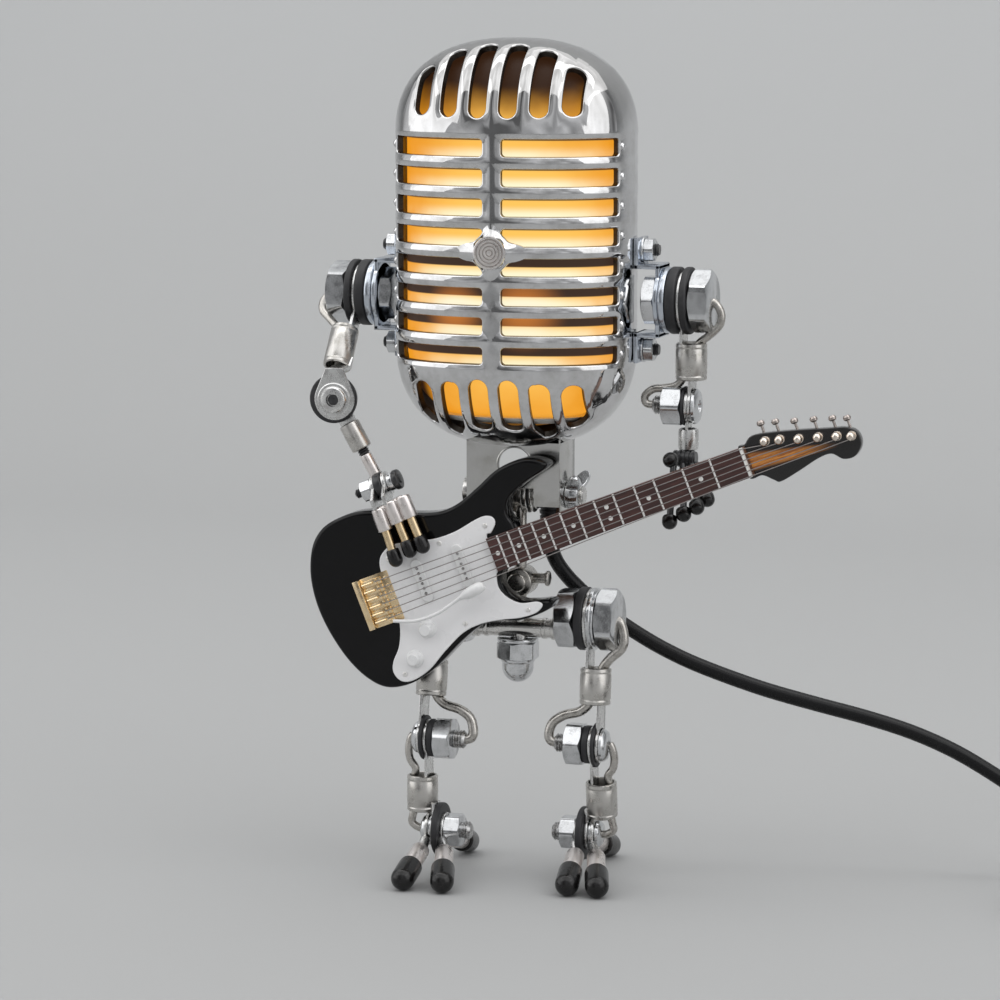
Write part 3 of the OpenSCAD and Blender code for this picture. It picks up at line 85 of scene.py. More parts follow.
# %% [markdown]
# ## Materials
# `Value` wraps a socket, so that shader maths reads like ordinary sums. `Surface` makes one
# material and has a single method for any other node. Everything varies with object
# coordinates, which are the same for every piece, because no piece is moved or scaled.

# %% Shader helpers


class Value:
    def __init__(self, surface, socket):
        self.surface = surface
        self.socket = socket

    def math(self, operation, *others):
        return self.surface.node("ShaderNodeMath", 0, self, *others, operation=operation)

    def __add__(self, other):
        return self.math("ADD", other)

    def __sub__(self, other):
        return self.math("SUBTRACT", other)

    def __mul__(self, other):
        return self.math("MULTIPLY", other)

    def __truediv__(self, other):
        return self.math("DIVIDE", other)

    def smooth(self, low, high, to_low=0.0, to_high=1.0):
        """A smooth step from low to high."""
        return self.surface.node("ShaderNodeMapRange", 0, self, low, high, to_low, to_high,
                                 interpolation_type="SMOOTHSTEP")

    def ramp(self, low, high, to_low, to_high):
        return self.surface.node("ShaderNodeMapRange", 0, self, low, high, to_low, to_high)

    def mix(self, first, second):
        """A colour between two others, by this value."""
        return self.surface.node("ShaderNodeMix", 2, self, colors=(first, second), data_type="RGBA")


class Surface:
    def __init__(self, name, base, rough, metal=0.0, coat=0.0, coat_rough=0.03, ior=1.5):
        self.material = bpy.data.materials.new(name)
        self.material.use_nodes = True
        self.tree = self.material.node_tree
        self.shader = self.tree.nodes["Principled BSDF"]
        for key, value in (("Base Color", (*base, 1)), ("Roughness", rough), ("Metallic", metal),
                           ("Coat Weight", coat), ("Coat Roughness", coat_rough), ("IOR", ior)):
            self.shader.inputs[key].default_value = value

    def node(self, kind, output, *inputs, colors=(), **settings):
        """Any node: its inputs in order, and one of its outputs."""
        node = self.tree.nodes.new(kind)
        for key, value in settings.items():
            setattr(node, key, value)
        for socket, value in zip(node.inputs, inputs):
            self.feed(socket, value)
        for socket, value in zip((node.inputs[6:8] if colors else ()), colors):
            self.feed(socket, value)
        return Value(self, node.outputs[output])

    def feed(self, socket, value):
        if isinstance(value, Value):
            self.tree.links.new(value.socket, socket)
        elif value is not None:
            if socket.type == "RGBA" and len(value) == 3:
                value = (*value, 1)
            socket.default_value = value

    def set(self, key, value):
        self.feed(self.shader.inputs[key], value)

    def position(self):
        return self.node("ShaderNodeTexCoord", 3)

    def axes(self):
        """Object coordinates in millimetres, from the middle of the robot's feet."""
        split = self.tree.nodes.new("ShaderNodeSeparateXYZ")
        self.feed(split.inputs[0], self.position())
        return [Value(self, out) * (1 / MM) + shift for out, shift in zip(split.outputs, ORIGIN)]

    def noise(self, scale, detail=3.0, stretch=None, rough=0.5):
        vector = self.position()
        if stretch:
            vector = self.node("ShaderNodeMapping", 0, vector, None, None, stretch)
        return self.node("ShaderNodeTexNoise", 0, vector, None, scale, detail, rough)

    def bump(self, height, strength, distance):
        self.set("Normal", self.node("ShaderNodeBump", 0, strength, distance, None, height))


def metal(name, base, rough, worn, spots, grain=None, dull=0.35, bump=0.0):
    """A plated or bare metal: cloudy roughness, fine grain and darker patches."""
    s = Surface(name, base, rough, metal=1.0)
    cloud = s.noise(spots, 4.0)
    fine = s.noise(spots * 9, 2.0, stretch=grain)
    s.set("Roughness", cloud.ramp(0.3, 0.75, rough * 0.7, rough * 1.5)
          + fine.ramp(0.3, 0.7, -0.03, 0.05))
    s.set("Base Color", (cloud * 0.6 + fine * 0.4).smooth(0.34, 0.40 + dull * 0.4).mix(worn, base))
    if bump:
        s.bump(fine, bump, 0.0002)
    return s.material


# %% [markdown]
# The real lamp is mostly bought hardware: a chromed shell, blue zinc sheet, bright turned
# hexagons, nickel rods and dull crimped ferrules. Each could be given a painted texture, but
# that needs unwrapping. Noise in object coordinates needs none and keeps one scale on every
# piece, so each metal is two colours, a roughness and a grain. The chrome also waves a little,
# as plated sheet does, and its crown has a darker base colour: painted shade, which dims its
# reflection of the lights overhead.

# %% Metals
chrome = Surface("chrome_plate", (0.68, 0.68, 0.685), 0.06, metal=1.0)
waves = chrome.noise(34.0, 1.5)
smudge = chrome.noise(120.0, 5.0, rough=0.65)
chrome.set("Roughness", smudge.smooth(0.42, 0.78, 0.045, 0.17))
chrome_z = chrome.axes()[2]
plating = smudge.smooth(0.35, 0.75).mix((0.70, 0.70, 0.705), (0.52, 0.515, 0.51))
# Painted shade: the crown's base colour is darker, to dim its reflection of the top light.
chrome.set("Base Color", chrome_z.smooth(240.0, 256.0).mix(plating, (0.50, 0.495, 0.49)))
chrome.bump(waves, 0.10, 0.004)
CHROME = chrome.material
ZINC = metal("blue_zinc_sheet", (0.58, 0.62, 0.68), 0.16, (0.46, 0.50, 0.56), 180.0,
             grain=(1, 1, 9), bump=0.015)
YOKE_METAL = metal("yoke_steel", (0.60, 0.595, 0.58), 0.14, (0.42, 0.41, 0.385), 150.0,
                   grain=(9, 1, 1), bump=0.02)
HEX = metal("bright_hexagon_steel", (0.70, 0.71, 0.72), 0.16, (0.50, 0.505, 0.515), 330.0, bump=0.03)
ROD = metal("nickel_rod", (0.52, 0.50, 0.47), 0.24, (0.36, 0.34, 0.31), 420.0,
            grain=(1, 1, 3), bump=0.03)
FERRULE = metal("ferrule_steel", (0.56, 0.545, 0.52), 0.27, (0.42, 0.405, 0.375), 240.0,
                grain=(5, 5, 1), bump=0.02)
LUG = metal("lug_steel", (0.72, 0.72, 0.71), 0.24, (0.52, 0.51, 0.50), 300.0, bump=0.03)
THREAD = metal("thread_steel", (0.60, 0.60, 0.60), 0.22, (0.22, 0.21, 0.20), 500.0, dull=0.6)
SLEEVE = metal("hand_sleeve_steel", (0.78, 0.735, 0.715), 0.30, (0.70, 0.65, 0.62), 350.0)
BRASS = metal("brass_pin", (0.76, 0.60, 0.38), 0.28, (0.68, 0.52, 0.31), 380.0)
GOLD = metal("gold_plate", (0.93, 0.74, 0.47), 0.20, (0.80, 0.59, 0.33), 300.0)
STRING = metal("string_wire", (0.34, 0.32, 0.31), 0.50, (0.25, 0.235, 0.23), 800.0)
FRET = metal("fret_wire", (0.93, 0.92, 0.90), 0.30, (0.82, 0.80, 0.77), 700.0)
TUNER = metal("tuner_metal", (0.80, 0.72, 0.64), 0.20, (0.66, 0.57, 0.49), 600.0)
PEG = metal("tuner_key_metal", (0.46, 0.41, 0.38), 0.25, (0.34, 0.30, 0.28), 600.0)
MEDAL = metal("medallion_nickel", (0.80, 0.77, 0.75), 0.26, (0.75, 0.715, 0.70), 160.0)
TUBE = metal("pelvis_nickel", (0.70, 0.69, 0.67), 0.22, (0.62, 0.61, 0.585), 90.0, grain=(1, 9, 9))
# Painted shade: the slot walls and the shell's inside are near-black.
INSIDE_SHADE = metal("shell_inside_shade", (0.085, 0.075, 0.065), 0.42, (0.05, 0.043, 0.036), 200.0, bump=0.1)
print("metals:", len(bpy.data.materials))


# %% [markdown]
# Washers, toe caps, the cord and the plug are black, and black things differ only in their
# gloss and their dust. So one helper mixes a dark base with a slightly lighter dusty tone and
# makes the roughness follow the same grain. The guitar's lacquer is the same helper with hardly
# any grain and a clear coat.

# %% Rubber and plastics


def dull(name, base, light, rough, spots, coat=0.0, bump=0.15, ior=1.5):
    """Rubber or plastic: a fine grain, and a little dust in patches."""
    s = Surface(name, base, rough, coat=coat, coat_rough=0.12, ior=ior)
    grain = s.noise(spots, 5.0, rough=0.6)
    dust = s.noise(spots * 0.13, 3.0)
    s.set("Base Color", (grain * 0.5 + dust * 0.5).smooth(0.48, 0.72).mix(base, light))
    s.set("Roughness", grain.ramp(0.3, 0.7, rough * 0.85, min(1, rough * 1.2)))
    s.bump(grain, bump, 0.0003)
    return s.material


RUBBER = dull("washer_rubber", (0.016, 0.016, 0.018), (0.035, 0.035, 0.037), 0.52, 900.0)
CAP = dull("vinyl_cap", (0.005, 0.0045, 0.0045), (0.011, 0.010, 0.010), 0.24, 500.0,
           coat=0.2, bump=0.03, ior=1.38)
CORD = dull("cord_sheath", (0.004, 0.004, 0.0045), (0.009, 0.009, 0.0095), 0.26, 1100.0,
            bump=0.03, ior=1.34)
PLASTIC = dull("black_plastic", (0.014, 0.014, 0.016), (0.028, 0.028, 0.03), 0.42, 1300.0, bump=0.1)
BLACK_METAL = dull("black_oxide", (0.02, 0.02, 0.022), (0.05, 0.05, 0.052), 0.3, 700.0,
                   coat=0.2, bump=0.08)
ROCKER = dull("red_rocker", (0.40, 0.012, 0.01), (0.46, 0.03, 0.02), 0.22, 600.0,
              coat=0.4, bump=0.03)
LACQUER = dull("piano_black", (0.0025, 0.0025, 0.0028), (0.004, 0.004, 0.0045), 0.10, 120.0,
               coat=0.12, ior=1.28, bump=0.0)
GUARD = dull("guard_white", (0.84, 0.835, 0.84), (0.79, 0.785, 0.79), 0.28, 90.0,
             coat=0.4, bump=0.01)
KNOB = dull("knob_white", (0.78, 0.78, 0.78), (0.70, 0.70, 0.70), 0.3, 300.0, coat=0.2, bump=0.03)
DOT = dull("pearl_dot", (0.88, 0.87, 0.84), (0.80, 0.80, 0.78), 0.22, 900.0, coat=0.5, bump=0.01)
CERAMIC = dull("holder_ceramic", (0.72, 0.70, 0.66), (0.62, 0.6, 0.56), 0.3, 200.0,
               coat=0.4, bump=0.03)

# %% [markdown]
# The fretboard and neck are wood with grain along the neck. The headstock fades from flame
# orange beside the nut to black. An image would do for both, but stretched noise in the tilted
# directions of the neck gives the grain with no unwrapping.
#
# The diffuser is a frosted amber sleeve round the bulb. A real lamp inside it would be noisy and
# slow to render, so the sleeve itself glows: brightest in front of the bulb, deeper amber towards
# the sides, and dark at the crown and at one end of the chin. Below each bar it darkens in a
# step, because the bar's own shadow falls there.

# %% Wood, diffuser and bulb
TILT = math.radians(21.7)
# The guitar's own zero along its neck and across it, in the same tilted directions.
GUITAR_ALONG, GUITAR_OVER = -4.5, 101.0


def wood(name, dark, light, rough):
    """Returns the surface, its places along and over the neck, and its grain."""
    s = Surface(name, dark, rough, coat=0.35, coat_rough=0.15)
    x, y, z = s.axes()
    along = x * math.cos(TILT) + z * math.sin(TILT)
    over = z * math.cos(TILT) - x * math.sin(TILT)
    point = s.node("ShaderNodeCombineXYZ", 0, along * 0.05, over * 0.9, y * 0.9)
    grain = s.node("ShaderNodeTexNoise", 0, point, None, 2.2, 6.0, 0.62)
    pores = s.node("ShaderNodeTexNoise", 0, point, None, 9.0, 3.0, 0.6)
    mixed = grain * 0.7 + pores * 0.3
    s.set("Base Color", mixed.smooth(0.34, 0.66).mix(dark, light))
    s.set("Roughness", mixed.ramp(0.3, 0.7, rough * 0.8, rough * 1.2))
    s.bump(mixed, 0.06, 0.0004)
    return s, along, over, mixed


ROSEWOOD = wood("fretboard_wood", (0.028, 0.009, 0.008), (0.085, 0.026, 0.020), 0.32)[0].material
NECK = wood("neck_wood", (0.075, 0.030, 0.016), (0.16, 0.066, 0.030), 0.28)[0].material
flame, flame_along, flame_over, flame_grain = wood("headstock_flame", (0.3, 0.1, 0.02),
                                                   (0.8, 0.35, 0.08), 0.16)
flame_s = flame_along - GUITAR_ALONG
flame_t = flame_over - GUITAR_OVER
band_middle = (flame_s - 136.0) * -0.15 - 0.7
band_half = (flame_s - 134.0) * -0.085 + 3.3
off_band = (flame_t - band_middle).math("ABSOLUTE") / band_half
burst = (off_band + flame_grain * 0.5 - 0.25).smooth(1.05, 0.5) * flame_s.smooth(163.0, 146.0)
streaks = flame_grain.smooth(0.36, 0.64).mix((0.30, 0.075, 0.016), (0.82, 0.34, 0.06))
flame.set("Base Color", burst.mix((0.005, 0.004, 0.004), streaks))
FLAME = flame.material

ROW_Z, ROW_PITCH = 167.9, 9.4
glow = Surface("amber_diffuser", (0.10, 0.045, 0.01), 0.5, ior=1.2)
gx, _, gz = glow.axes()
wide = (gx - 4.0) / 34.0
high = (gz - 205.0) / 58.0
cloud = glow.noise(75.0, 3.0)
near = ((wide * wide + high * high).math("SQRT") + cloud * 0.4 - 0.2).smooth(1.22, 0.42)
step = ((gz + 1.0 - ROW_Z) / ROW_PITCH).math("FRACT")
rows = gz.smooth(166.5, 168.0) * gz.smooth(243.0, 241.5)
foot = step.smooth(0.70, 0.30) * rows
amber = near.mix((0.82, 0.31, 0.014), (1.0, 0.55, 0.085))
lit = (near * (foot * 0.95 + 0.05)).mix(amber, (1.0, 0.95, 0.66))


def spot(x, z, size):
    """1 at a bulb's bright spot, and 0 beyond its size."""
    across, up = (gx - x) / size, (gz - z) / size
    return (across * across + up * up).math("SQRT").smooth(1.0, 0.1)


hot = spot(9, 187, 15).math("MAXIMUM", spot(-14, 186, 12))
lit = (hot * (foot * 0.7 + 0.3)).mix(lit, (1.0, 0.93, 0.70))
edge_at = gz.smooth(204.0, 206.0, 0.585, 0.83)
shade = (step - edge_at).smooth(-0.02, 0.03) * rows
shaded = hot.mix((0.045, 0.026, 0.018), (0.50, 0.17, 0.035))
dark_end = (0.030, 0.012, 0.005)
crown = (gz + cloud * 6.0).smooth(246.0, 262.0)
chin_side = (gx + 22.0).smooth(0.0, -6.0) * gz.smooth(168.0, 166.0)
chin_dark = chin_side.math("MAXIMUM", gz.smooth(154.0, 147.0))
lit = crown.math("MAXIMUM", chin_dark).mix(shade.mix(lit, shaded), dark_end)
glow.set("Emission Color", lit)
# Painted shade: the base colour is darkened at the crown and below each bar, as the glow is.
base_shade = crown.math("MAXIMUM", shade)
glow.set("Base Color", base_shade.mix((0.10, 0.045, 0.010), (0.012, 0.008, 0.006)))
glow.set("Emission Strength", 1.0)
DIFFUSER = glow.material
bulb_glow = Surface("bulb_glass", (0.95, 0.9, 0.8), 0.2)
frost = bulb_glow.noise(150.0).smooth(0.3, 0.7)
bulb_glow.set("Emission Color", frost.mix((1.0, 0.78, 0.45), (1.0, 0.85, 0.55)))
bulb_glow.set("Emission Strength", 4.0)
BULB = bulb_glow.material
print("materials:", len(bpy.data.materials))

# %% [markdown]
# ## Building tools
# A `Piece` gathers solids in millimetres and becomes one object that rides on a body and may
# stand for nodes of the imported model. Most solids lie along +X, the direction of the lamp's
# own hinge pins, and a matrix puts them in place. Blender's primitives and modifiers could make
# the same forms, but plain meshes give exact measures and the same result on each run.

# %% Matrices


def shift(x, y, z):
    return Matrix.Translation((x, y, z))


def turn(degrees, axis):
    return Matrix.Rotation(math.radians(degrees), 4, axis)


PLAIN = Matrix.Identity(4)
MIRROR = Matrix.Scale(-1, 4, (1, 0, 0))
# For flat shapes: STAND puts (x, y) on X and Z, and SIDEWAYS puts it on Y and Z.
STAND = Matrix(((1, 0, 0, 0), (0, 0, -1, 0), (0, 1, 0, 0), (0, 0, 0, 1)))
SIDEWAYS = Matrix(((0, 0, 1, 0), (1, 0, 0, 0), (0, 1, 0, 0), (0, 0, 0, 1)))


def from_to(a, b):
    """Turns +X onto the line from a to b."""
    way = Vector(b) - Vector(a)
    return Matrix.Translation(a) @ way.to_track_quat("X", "Z").to_matrix().to_4x4()


def upright(x, y, z):
    """Turns +X onto +Z."""
    return shift(x, y, z) @ turn(-90, "Y")


def angles(n, first=0.0):
    """n even angles round a circle."""
    return [2 * math.pi * (k + first) / n for k in range(n)]


def skin(bm, loops):
    """Joins each loop of verts to the next, and returns the bands of faces."""
    bands = []
    for a, b in zip(loops, loops[1:]):
        n = len(a)
        bands.append([bm.faces.new((a[k], a[(k + 1) % n], b[(k + 1) % n], b[k])) for k in range(n)])
    return bands


def smooth_path(points, steps, loop=False):
    """A Catmull-Rom curve through the points."""
    p = [Vector(q) for q in points]
    n = len(p)
    out = []
    for i in range(n if loop else n - 1):
        if loop:
            a, b, c, d = p[i - 1], p[i], p[(i + 1) % n], p[(i + 2) % n]
        else:
            a, b, c, d = p[max(i - 1, 0)], p[i], p[i + 1], p[min(i + 2, n - 1)]
        for k in range(steps):
            u = k / steps
            out.append(0.5 * (2 * b + (c - a) * u + (2 * a - 5 * b + 4 * c - d) * u * u
                              + (3 * b - a - 3 * c + d) * u ** 3))
    if not loop:
        out.append(p[-1])
    return out


# %% [markdown]
# Bolts, washers, ferrules and caps come off a lathe, so each is a section that is spun round
# its axis. The rims are rounded in the section itself. That costs a few points, and it catches
# the light as a real broken edge does, where a sharp corner would look cut from paper.

# %% Profiles for turned parts
ARC = [(1 - math.cos(math.radians(a)), math.sin(math.radians(a))) for a in (0, 30, 60, 90)]


def disc(x0, x1, r, round0, round1=None):
    """A solid disc's half section, with rounded rims."""
    round1 = round0 if round1 is None else round1
    low = [(x0 + round0 * a, r - round0 + round0 * b) for a, b in ARC]
    high = [(x1 - round1 * a, r - round1 + round1 * b) for a, b in reversed(ARC)]
    return [(x0, 0)] + low + high + [(x1, 0)]


def ring(x0, x1, r, bore, edge):
    """A ring's closed section."""
    outer = [(x0 + edge * a, r - edge + edge * b) for a, b in ARC]
    outer += [(x1 - edge * a, r - edge + edge * b) for a, b in reversed(ARC)]
    half = edge * 0.5
    return outer + [(x1, bore + half), (x1 - half, bore), (x0 + half, bore), (x0, bore + half)]


def dome(x, r, step, first=0, reach=None):
    """A rounded end's half section, from its full radius at x to its top on the axis."""
    reach = reach or r
    rim = [(x + reach * math.sin(math.radians(a)), r * math.cos(math.radians(a)))
           for a in range(first, 90, step)]
    return rim + [(x + reach, 0)]


def threads(x0, x1, r, pitch):
    """A threaded shank's half section."""
    out = [(x0, 0), (x0, r - 0.8)]
    x = x0 + 0.4
    while x + pitch <= x1:
        out += [(x, r - 0.5 * pitch), (x + 0.42 * pitch, r), (x + 0.58 * pitch, r)]
        x += pitch
    return out + [(x, r - 0.5 * pitch), (x1, r - 0.5 * pitch), (x1, 0)]


# %% [markdown]
# One object for each finish and body keeps the list of pieces short, and lets a whole stack of
# washers move with its joint. `Piece` could be a set of loose functions, but a class keeps the
# name, the body, the material and the nodes it stands for together until `done` uses them.

# %% The piece class


class Piece:
    """Solids on one body. Each method adds one solid and returns the piece, and done makes the
    object, with its ride and the nodes it stands for. The slot given to done is not used."""
    def __init__(self, name, body, material, *nodes, at=None, sharp=32, inside=None):
        self.name, self.body, self.nodes = name, body, nodes
        self.materials = [material] + ([inside] if inside else [])
        self.at = at or PLAIN
        self.sharp = math.radians(sharp)
        self.bm = bmesh.new()

    def take(self, bm, at=None):
        bmesh.ops.transform(bm, matrix=self.at @ (at or PLAIN), verts=bm.verts)
        bmesh.ops.recalc_face_normals(bm, faces=bm.faces)
        mesh = bpy.data.meshes.new("part")
        bm.to_mesh(mesh)
        bm.free()
        self.bm.from_mesh(mesh)
        bpy.data.meshes.remove(mesh)
        return self

    def lathe(self, section, at=None, steps=48, closed=False):
        """Spins a section of (x, r) round the X axis."""
        bm = bmesh.new()
        verts = [bm.verts.new((x, r, 0)) for x, r in section]
        pairs = list(zip(verts, verts[1:])) + ([(verts[-1], verts[0])] if closed else [])
        edges = [bm.edges.new(pair) for pair in pairs]
        bmesh.ops.spin(bm, geom=verts + edges, cent=(0, 0, 0), axis=(1, 0, 0), angle=2 * math.pi,
                       steps=steps, use_merge=True)
        bmesh.ops.remove_doubles(bm, verts=bm.verts, dist=1e-4)
        return self.take(bm, at)

    def disc(self, x0, x1, d, edge, edge1=None, at=None, steps=48):
        return self.lathe(disc(x0, x1, d / 2, edge, edge1), at, steps)

    def ring(self, x0, x1, d, bore, edge, at=None, steps=48):
        return self.lathe(ring(x0, x1, d / 2, bore / 2, edge), at, steps, closed=True)

    def threads(self, x0, x1, d, pitch, at=None):
        return self.lathe(threads(x0, x1, d / 2, pitch), at, 32)

    def ball(self, d, at):
        r = d / 2
        section = [(-r * math.cos(math.pi * k / 14), r * math.sin(math.pi * k / 14)) for k in range(15)]
        section[0], section[-1] = (-r, 0), (r, 0)
        return self.lathe(section, at, 24)

    def hexagon(self, x0, x1, flats, bore=0.0, turned=0, at=None):
        """A hexagon with the scalloped chamfer that a turned blank leaves."""
        bm = bmesh.new()
        half = flats / 2
        flat_r = half * 0.96
        slope = math.tan(math.radians(30))

        def loop(radius, x):
            out = []
            for a in angles(72):
                corner = half / math.cos((a % (math.pi / 3)) - math.pi / 6)
                corner = min(corner, half / math.cos(math.pi / 6) - 0.18)
                r = corner if radius is None else radius
                out.append(bm.verts.new((x(corner), r * math.cos(a + math.radians(turned)),
                                         r * math.sin(a + math.radians(turned)))))
            return out

        def drop(corner):
            return max(0.12, (corner - flat_r) * slope)

        inner = max(bore / 2, 0.01)
        loops = [loop(inner, lambda c: x0), loop(flat_r, lambda c: x0),
                 loop(None, lambda c: x0 + drop(c)), loop(None, lambda c: x1 - drop(c)),
                 loop(flat_r, lambda c: x1), loop(inner, lambda c: x1)]
        skin(bm, loops + loops[:1] if bore else loops)
        bmesh.ops.remove_doubles(bm, verts=bm.verts, dist=0.015)
        return self.take(bm, at)

    def rod(self, points, d, sides=16, blend=True):
        """A round bar along a curve, with slightly rounded ends."""
        line = smooth_path(points, 5) if blend else [Vector(p) for p in points]
        last = len(line) - 1
        tangents = [(line[min(i + 1, last)] - line[max(i - 1, 0)]).normalized() for i in range(last + 1)]
        normal = tangents[0].orthogonal().normalized()
        bm = bmesh.new()
        loops = []
        edge = min(0.15 * d, 0.5)
        inset = {0: tangents[0] * edge, last: -tangents[-1] * edge}
        stations = [(line[0], 0, d / 2 - edge)]
        stations += [(line[i] + inset.get(i, Vector()), i, d / 2) for i in range(last + 1)]
        stations += [(line[-1], last, d / 2 - edge)]
        for middle, i, r in stations:
            normal = (normal - normal.dot(tangents[i]) * tangents[i]).normalized()
            side = tangents[i].cross(normal)
            loops.append([bm.verts.new(middle + r * (math.cos(a) * normal + math.sin(a) * side))
                          for a in angles(sides)])
        skin(bm, loops)
        bm.faces.new(loops[0])
        bm.faces.new(loops[-1])
        return self.take(bm)

    def box(self, x0, x1, y0, y1, z0, z1, edge, at=None):
        bm = bmesh.new()
        bmesh.ops.create_cube(bm, size=1)
        size = Vector((x1 - x0, y1 - y0, z1 - z0))
        middle = Vector((x1 + x0, y1 + y0, z1 + z0)) / 2
        for v in bm.verts:
            v.co = Vector(a * b for a, b in zip(v.co, size)) + middle
        bmesh.ops.bevel(bm, geom=bm.edges[:], offset=edge, offset_type="OFFSET", segments=2,
                        profile=0.5, affect="EDGES", clamp_overlap=True, material=-1)
        return self.take(bm, at)

    def slab(self, outline, z0, z1, edge=0.3, segments=3, at=None):
        """A flat shape with rounded rims, from z0 to z1, from a loop of (x, y) points."""
        bm = bmesh.new()
        p = [Vector((q[0], q[1], 0)) for q in outline]
        n = len(p)
        if sum(p[i].x * p[(i + 1) % n].y - p[(i + 1) % n].x * p[i].y for i in range(n)) < 0:
            p.reverse()
        inward, room = [], []
        for i in range(n):
            way = p[(i + 1) % n] - p[i - 1]
            inward.append(Vector((-way.y, way.x, 0)).normalized())
            reach = [(q - p[i]).length_squared / (2 * (q - p[i]).dot(inward[i])) for q in p
                     if (q - p[i]).dot(inward[i]) > 1e-6]
            room.append(0.75 * min(reach))
        quarter = [math.radians(a) for a in np.linspace(0, 90, segments + 1)]
        levels = [(edge * (1 - math.sin(a)), z0 + edge * (1 - math.cos(a))) for a in quarter]
        levels += [(edge * (1 - math.cos(a)), z1 - edge * (1 - math.sin(a))) for a in quarter]
        loops = [[bm.verts.new(q + o * min(inset, space) + Vector((0, 0, z)))
                  for q, o, space in zip(p, inward, room)] for inset, z in levels]
        skin(bm, loops)
        for loop in (loops[0], loops[-1]):
            bm.faces.new(loop)
            for k in range(n):
                bm.edges.get((loop[k], loop[(k + 1) % n])).smooth = False
        return self.take(bm, at)

    def plate(self, outline, hole, z0, z1, at):
        """A flat sheet with a hole, from two loops of (x, y) points."""
        bm = bmesh.new()
        loops = [[Vector((x, y, 0)) for x, y in line] for line in (outline, hole)]
        flat = [q for line in loops for q in line]
        low, high = ([bm.verts.new(q + Vector((0, 0, z))) for q in flat] for z in (z0, z1))
        for tri in tessellate_polygon(loops):
            bm.faces.new([low[k] for k in tri])
            bm.faces.new([high[k] for k in tri])
        outer = len(outline)
        for part in (slice(0, outer), slice(outer, len(flat))):
            skin(bm, [low[part], high[part]])
        return self.take(bm, at)

    def done(self, slot):
        to_frame = Matrix.Scale(MM, 4) @ Matrix.Translation(-ORIGIN)
        bmesh.ops.transform(self.bm, matrix=to_frame, verts=self.bm.verts)
        for edge in self.bm.edges:
            edge.smooth = edge.smooth and edge.calc_face_angle(0.0) < self.sharp
        for face in self.bm.faces:
            face.smooth = True
        mesh = bpy.data.meshes.new(self.name)
        self.bm.to_mesh(mesh)
        self.bm.free()
        obj = bpy.data.objects.new(self.name, mesh)
        bpy.context.scene.collection.objects.link(obj)
        for material in self.materials:
            mesh.materials.append(material)
        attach(obj, self.body)
        if self.nodes:
            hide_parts(*self.nodes)
        print(f"{self.name} on {self.body}: {len(mesh.polygons)} faces")
        return obj


# %% [markdown]
# ## Cord
# The cord hangs from its gland behind the neck, falls away to the robot's left, and ends in a
# neat coil of four turns by two layers with the plug lying on it. A curve object with a round
# bevel could make it, but its length would then have to be guessed. Here it is a row of points,
# whose steps add up to its length, which is printed.

# %% Cord route and coil
CORD_D = 5.0
COIL = Vector((206.0, 2.0, 0.0))
ROUTE = [
    (9.7, 7.4, 110.5), (9.7, 7.4, 108.5), (10.1, 7.8, 105.2), (11.6, 9.1, 101.2), (14.2, 11, 97),
    (17.6, 13.2, 92.8), (21.8, 15.2, 88.4), (26.4, 17, 84.2), (31.2, 18.4, 80.8), (37, 19.6, 77),
    (44, 20.8, 73), (53, 22, 68.8), (64, 23.8, 64.6), (78, 26, 60), (94, 28.4, 55.8),
    (110, 31, 51.8), (125, 33.4, 47.2), (139, 35.4, 41.2), (152, 36.8, 33.8), (163, 37.4, 26.8),
    (174, 37.4, 20.4), (185, 37.2, 15.2), (196, 36.7, 10.8)]
# Each turn of the coil as its radius and height, from the outside in.
TURNS = [(34.5, 7.8), (34.5, 2.6), (29.5, 2.6), (29.5, 7.8), (24.5, 7.8), (24.5, 2.6), (19.5, 2.6),
         (19.5, 7.8)]
INNER_R, COIL_TOP = 19.5, 13.6
# The part of a turn after which it steps over to the next one.
STEP_FROM = 0.72


def coil_path():
    """Clockwise turns, with a step to the next radius or layer at the end of each."""
    out = []
    for (r, z), (r1, z1) in zip(TURNS, TURNS[1:] + [(INNER_R, COIL_TOP)]):
        last = z1 == COIL_TOP
        count = 48 if last else 40
        for k in range(count):
            part = k / count
            angle = math.radians(90 - (450 if last else 360) * part)
            ease = min(1.0, max(0.0, (part - STEP_FROM) / (1 - STEP_FROM)))
            ease = ease * ease * (3 - 2 * ease)
            radius = r + (r1 - r) * ease
            out.append(COIL + Vector((radius * math.cos(angle), radius * math.sin(angle),
                                      z + (z1 - z) * ease)))
    return out


into_plug = [COIL + Vector((INNER_R, y, COIL_TOP + 0.1)) for y in (-0.2, -3)]
cord_line = smooth_path(ROUTE, 4)[:-1] + coil_path() + into_plug
cord_piece = Piece("mains_cord", "torso", CORD, "power_cord", "cord_coil")
cord_piece.rod(cord_line, CORD_D, sides=12, blend=False)
cord = cord_piece.done("black_cord")
cord_mm = sum((b - a).length for a, b in zip(cord_line, cord_line[1:]))

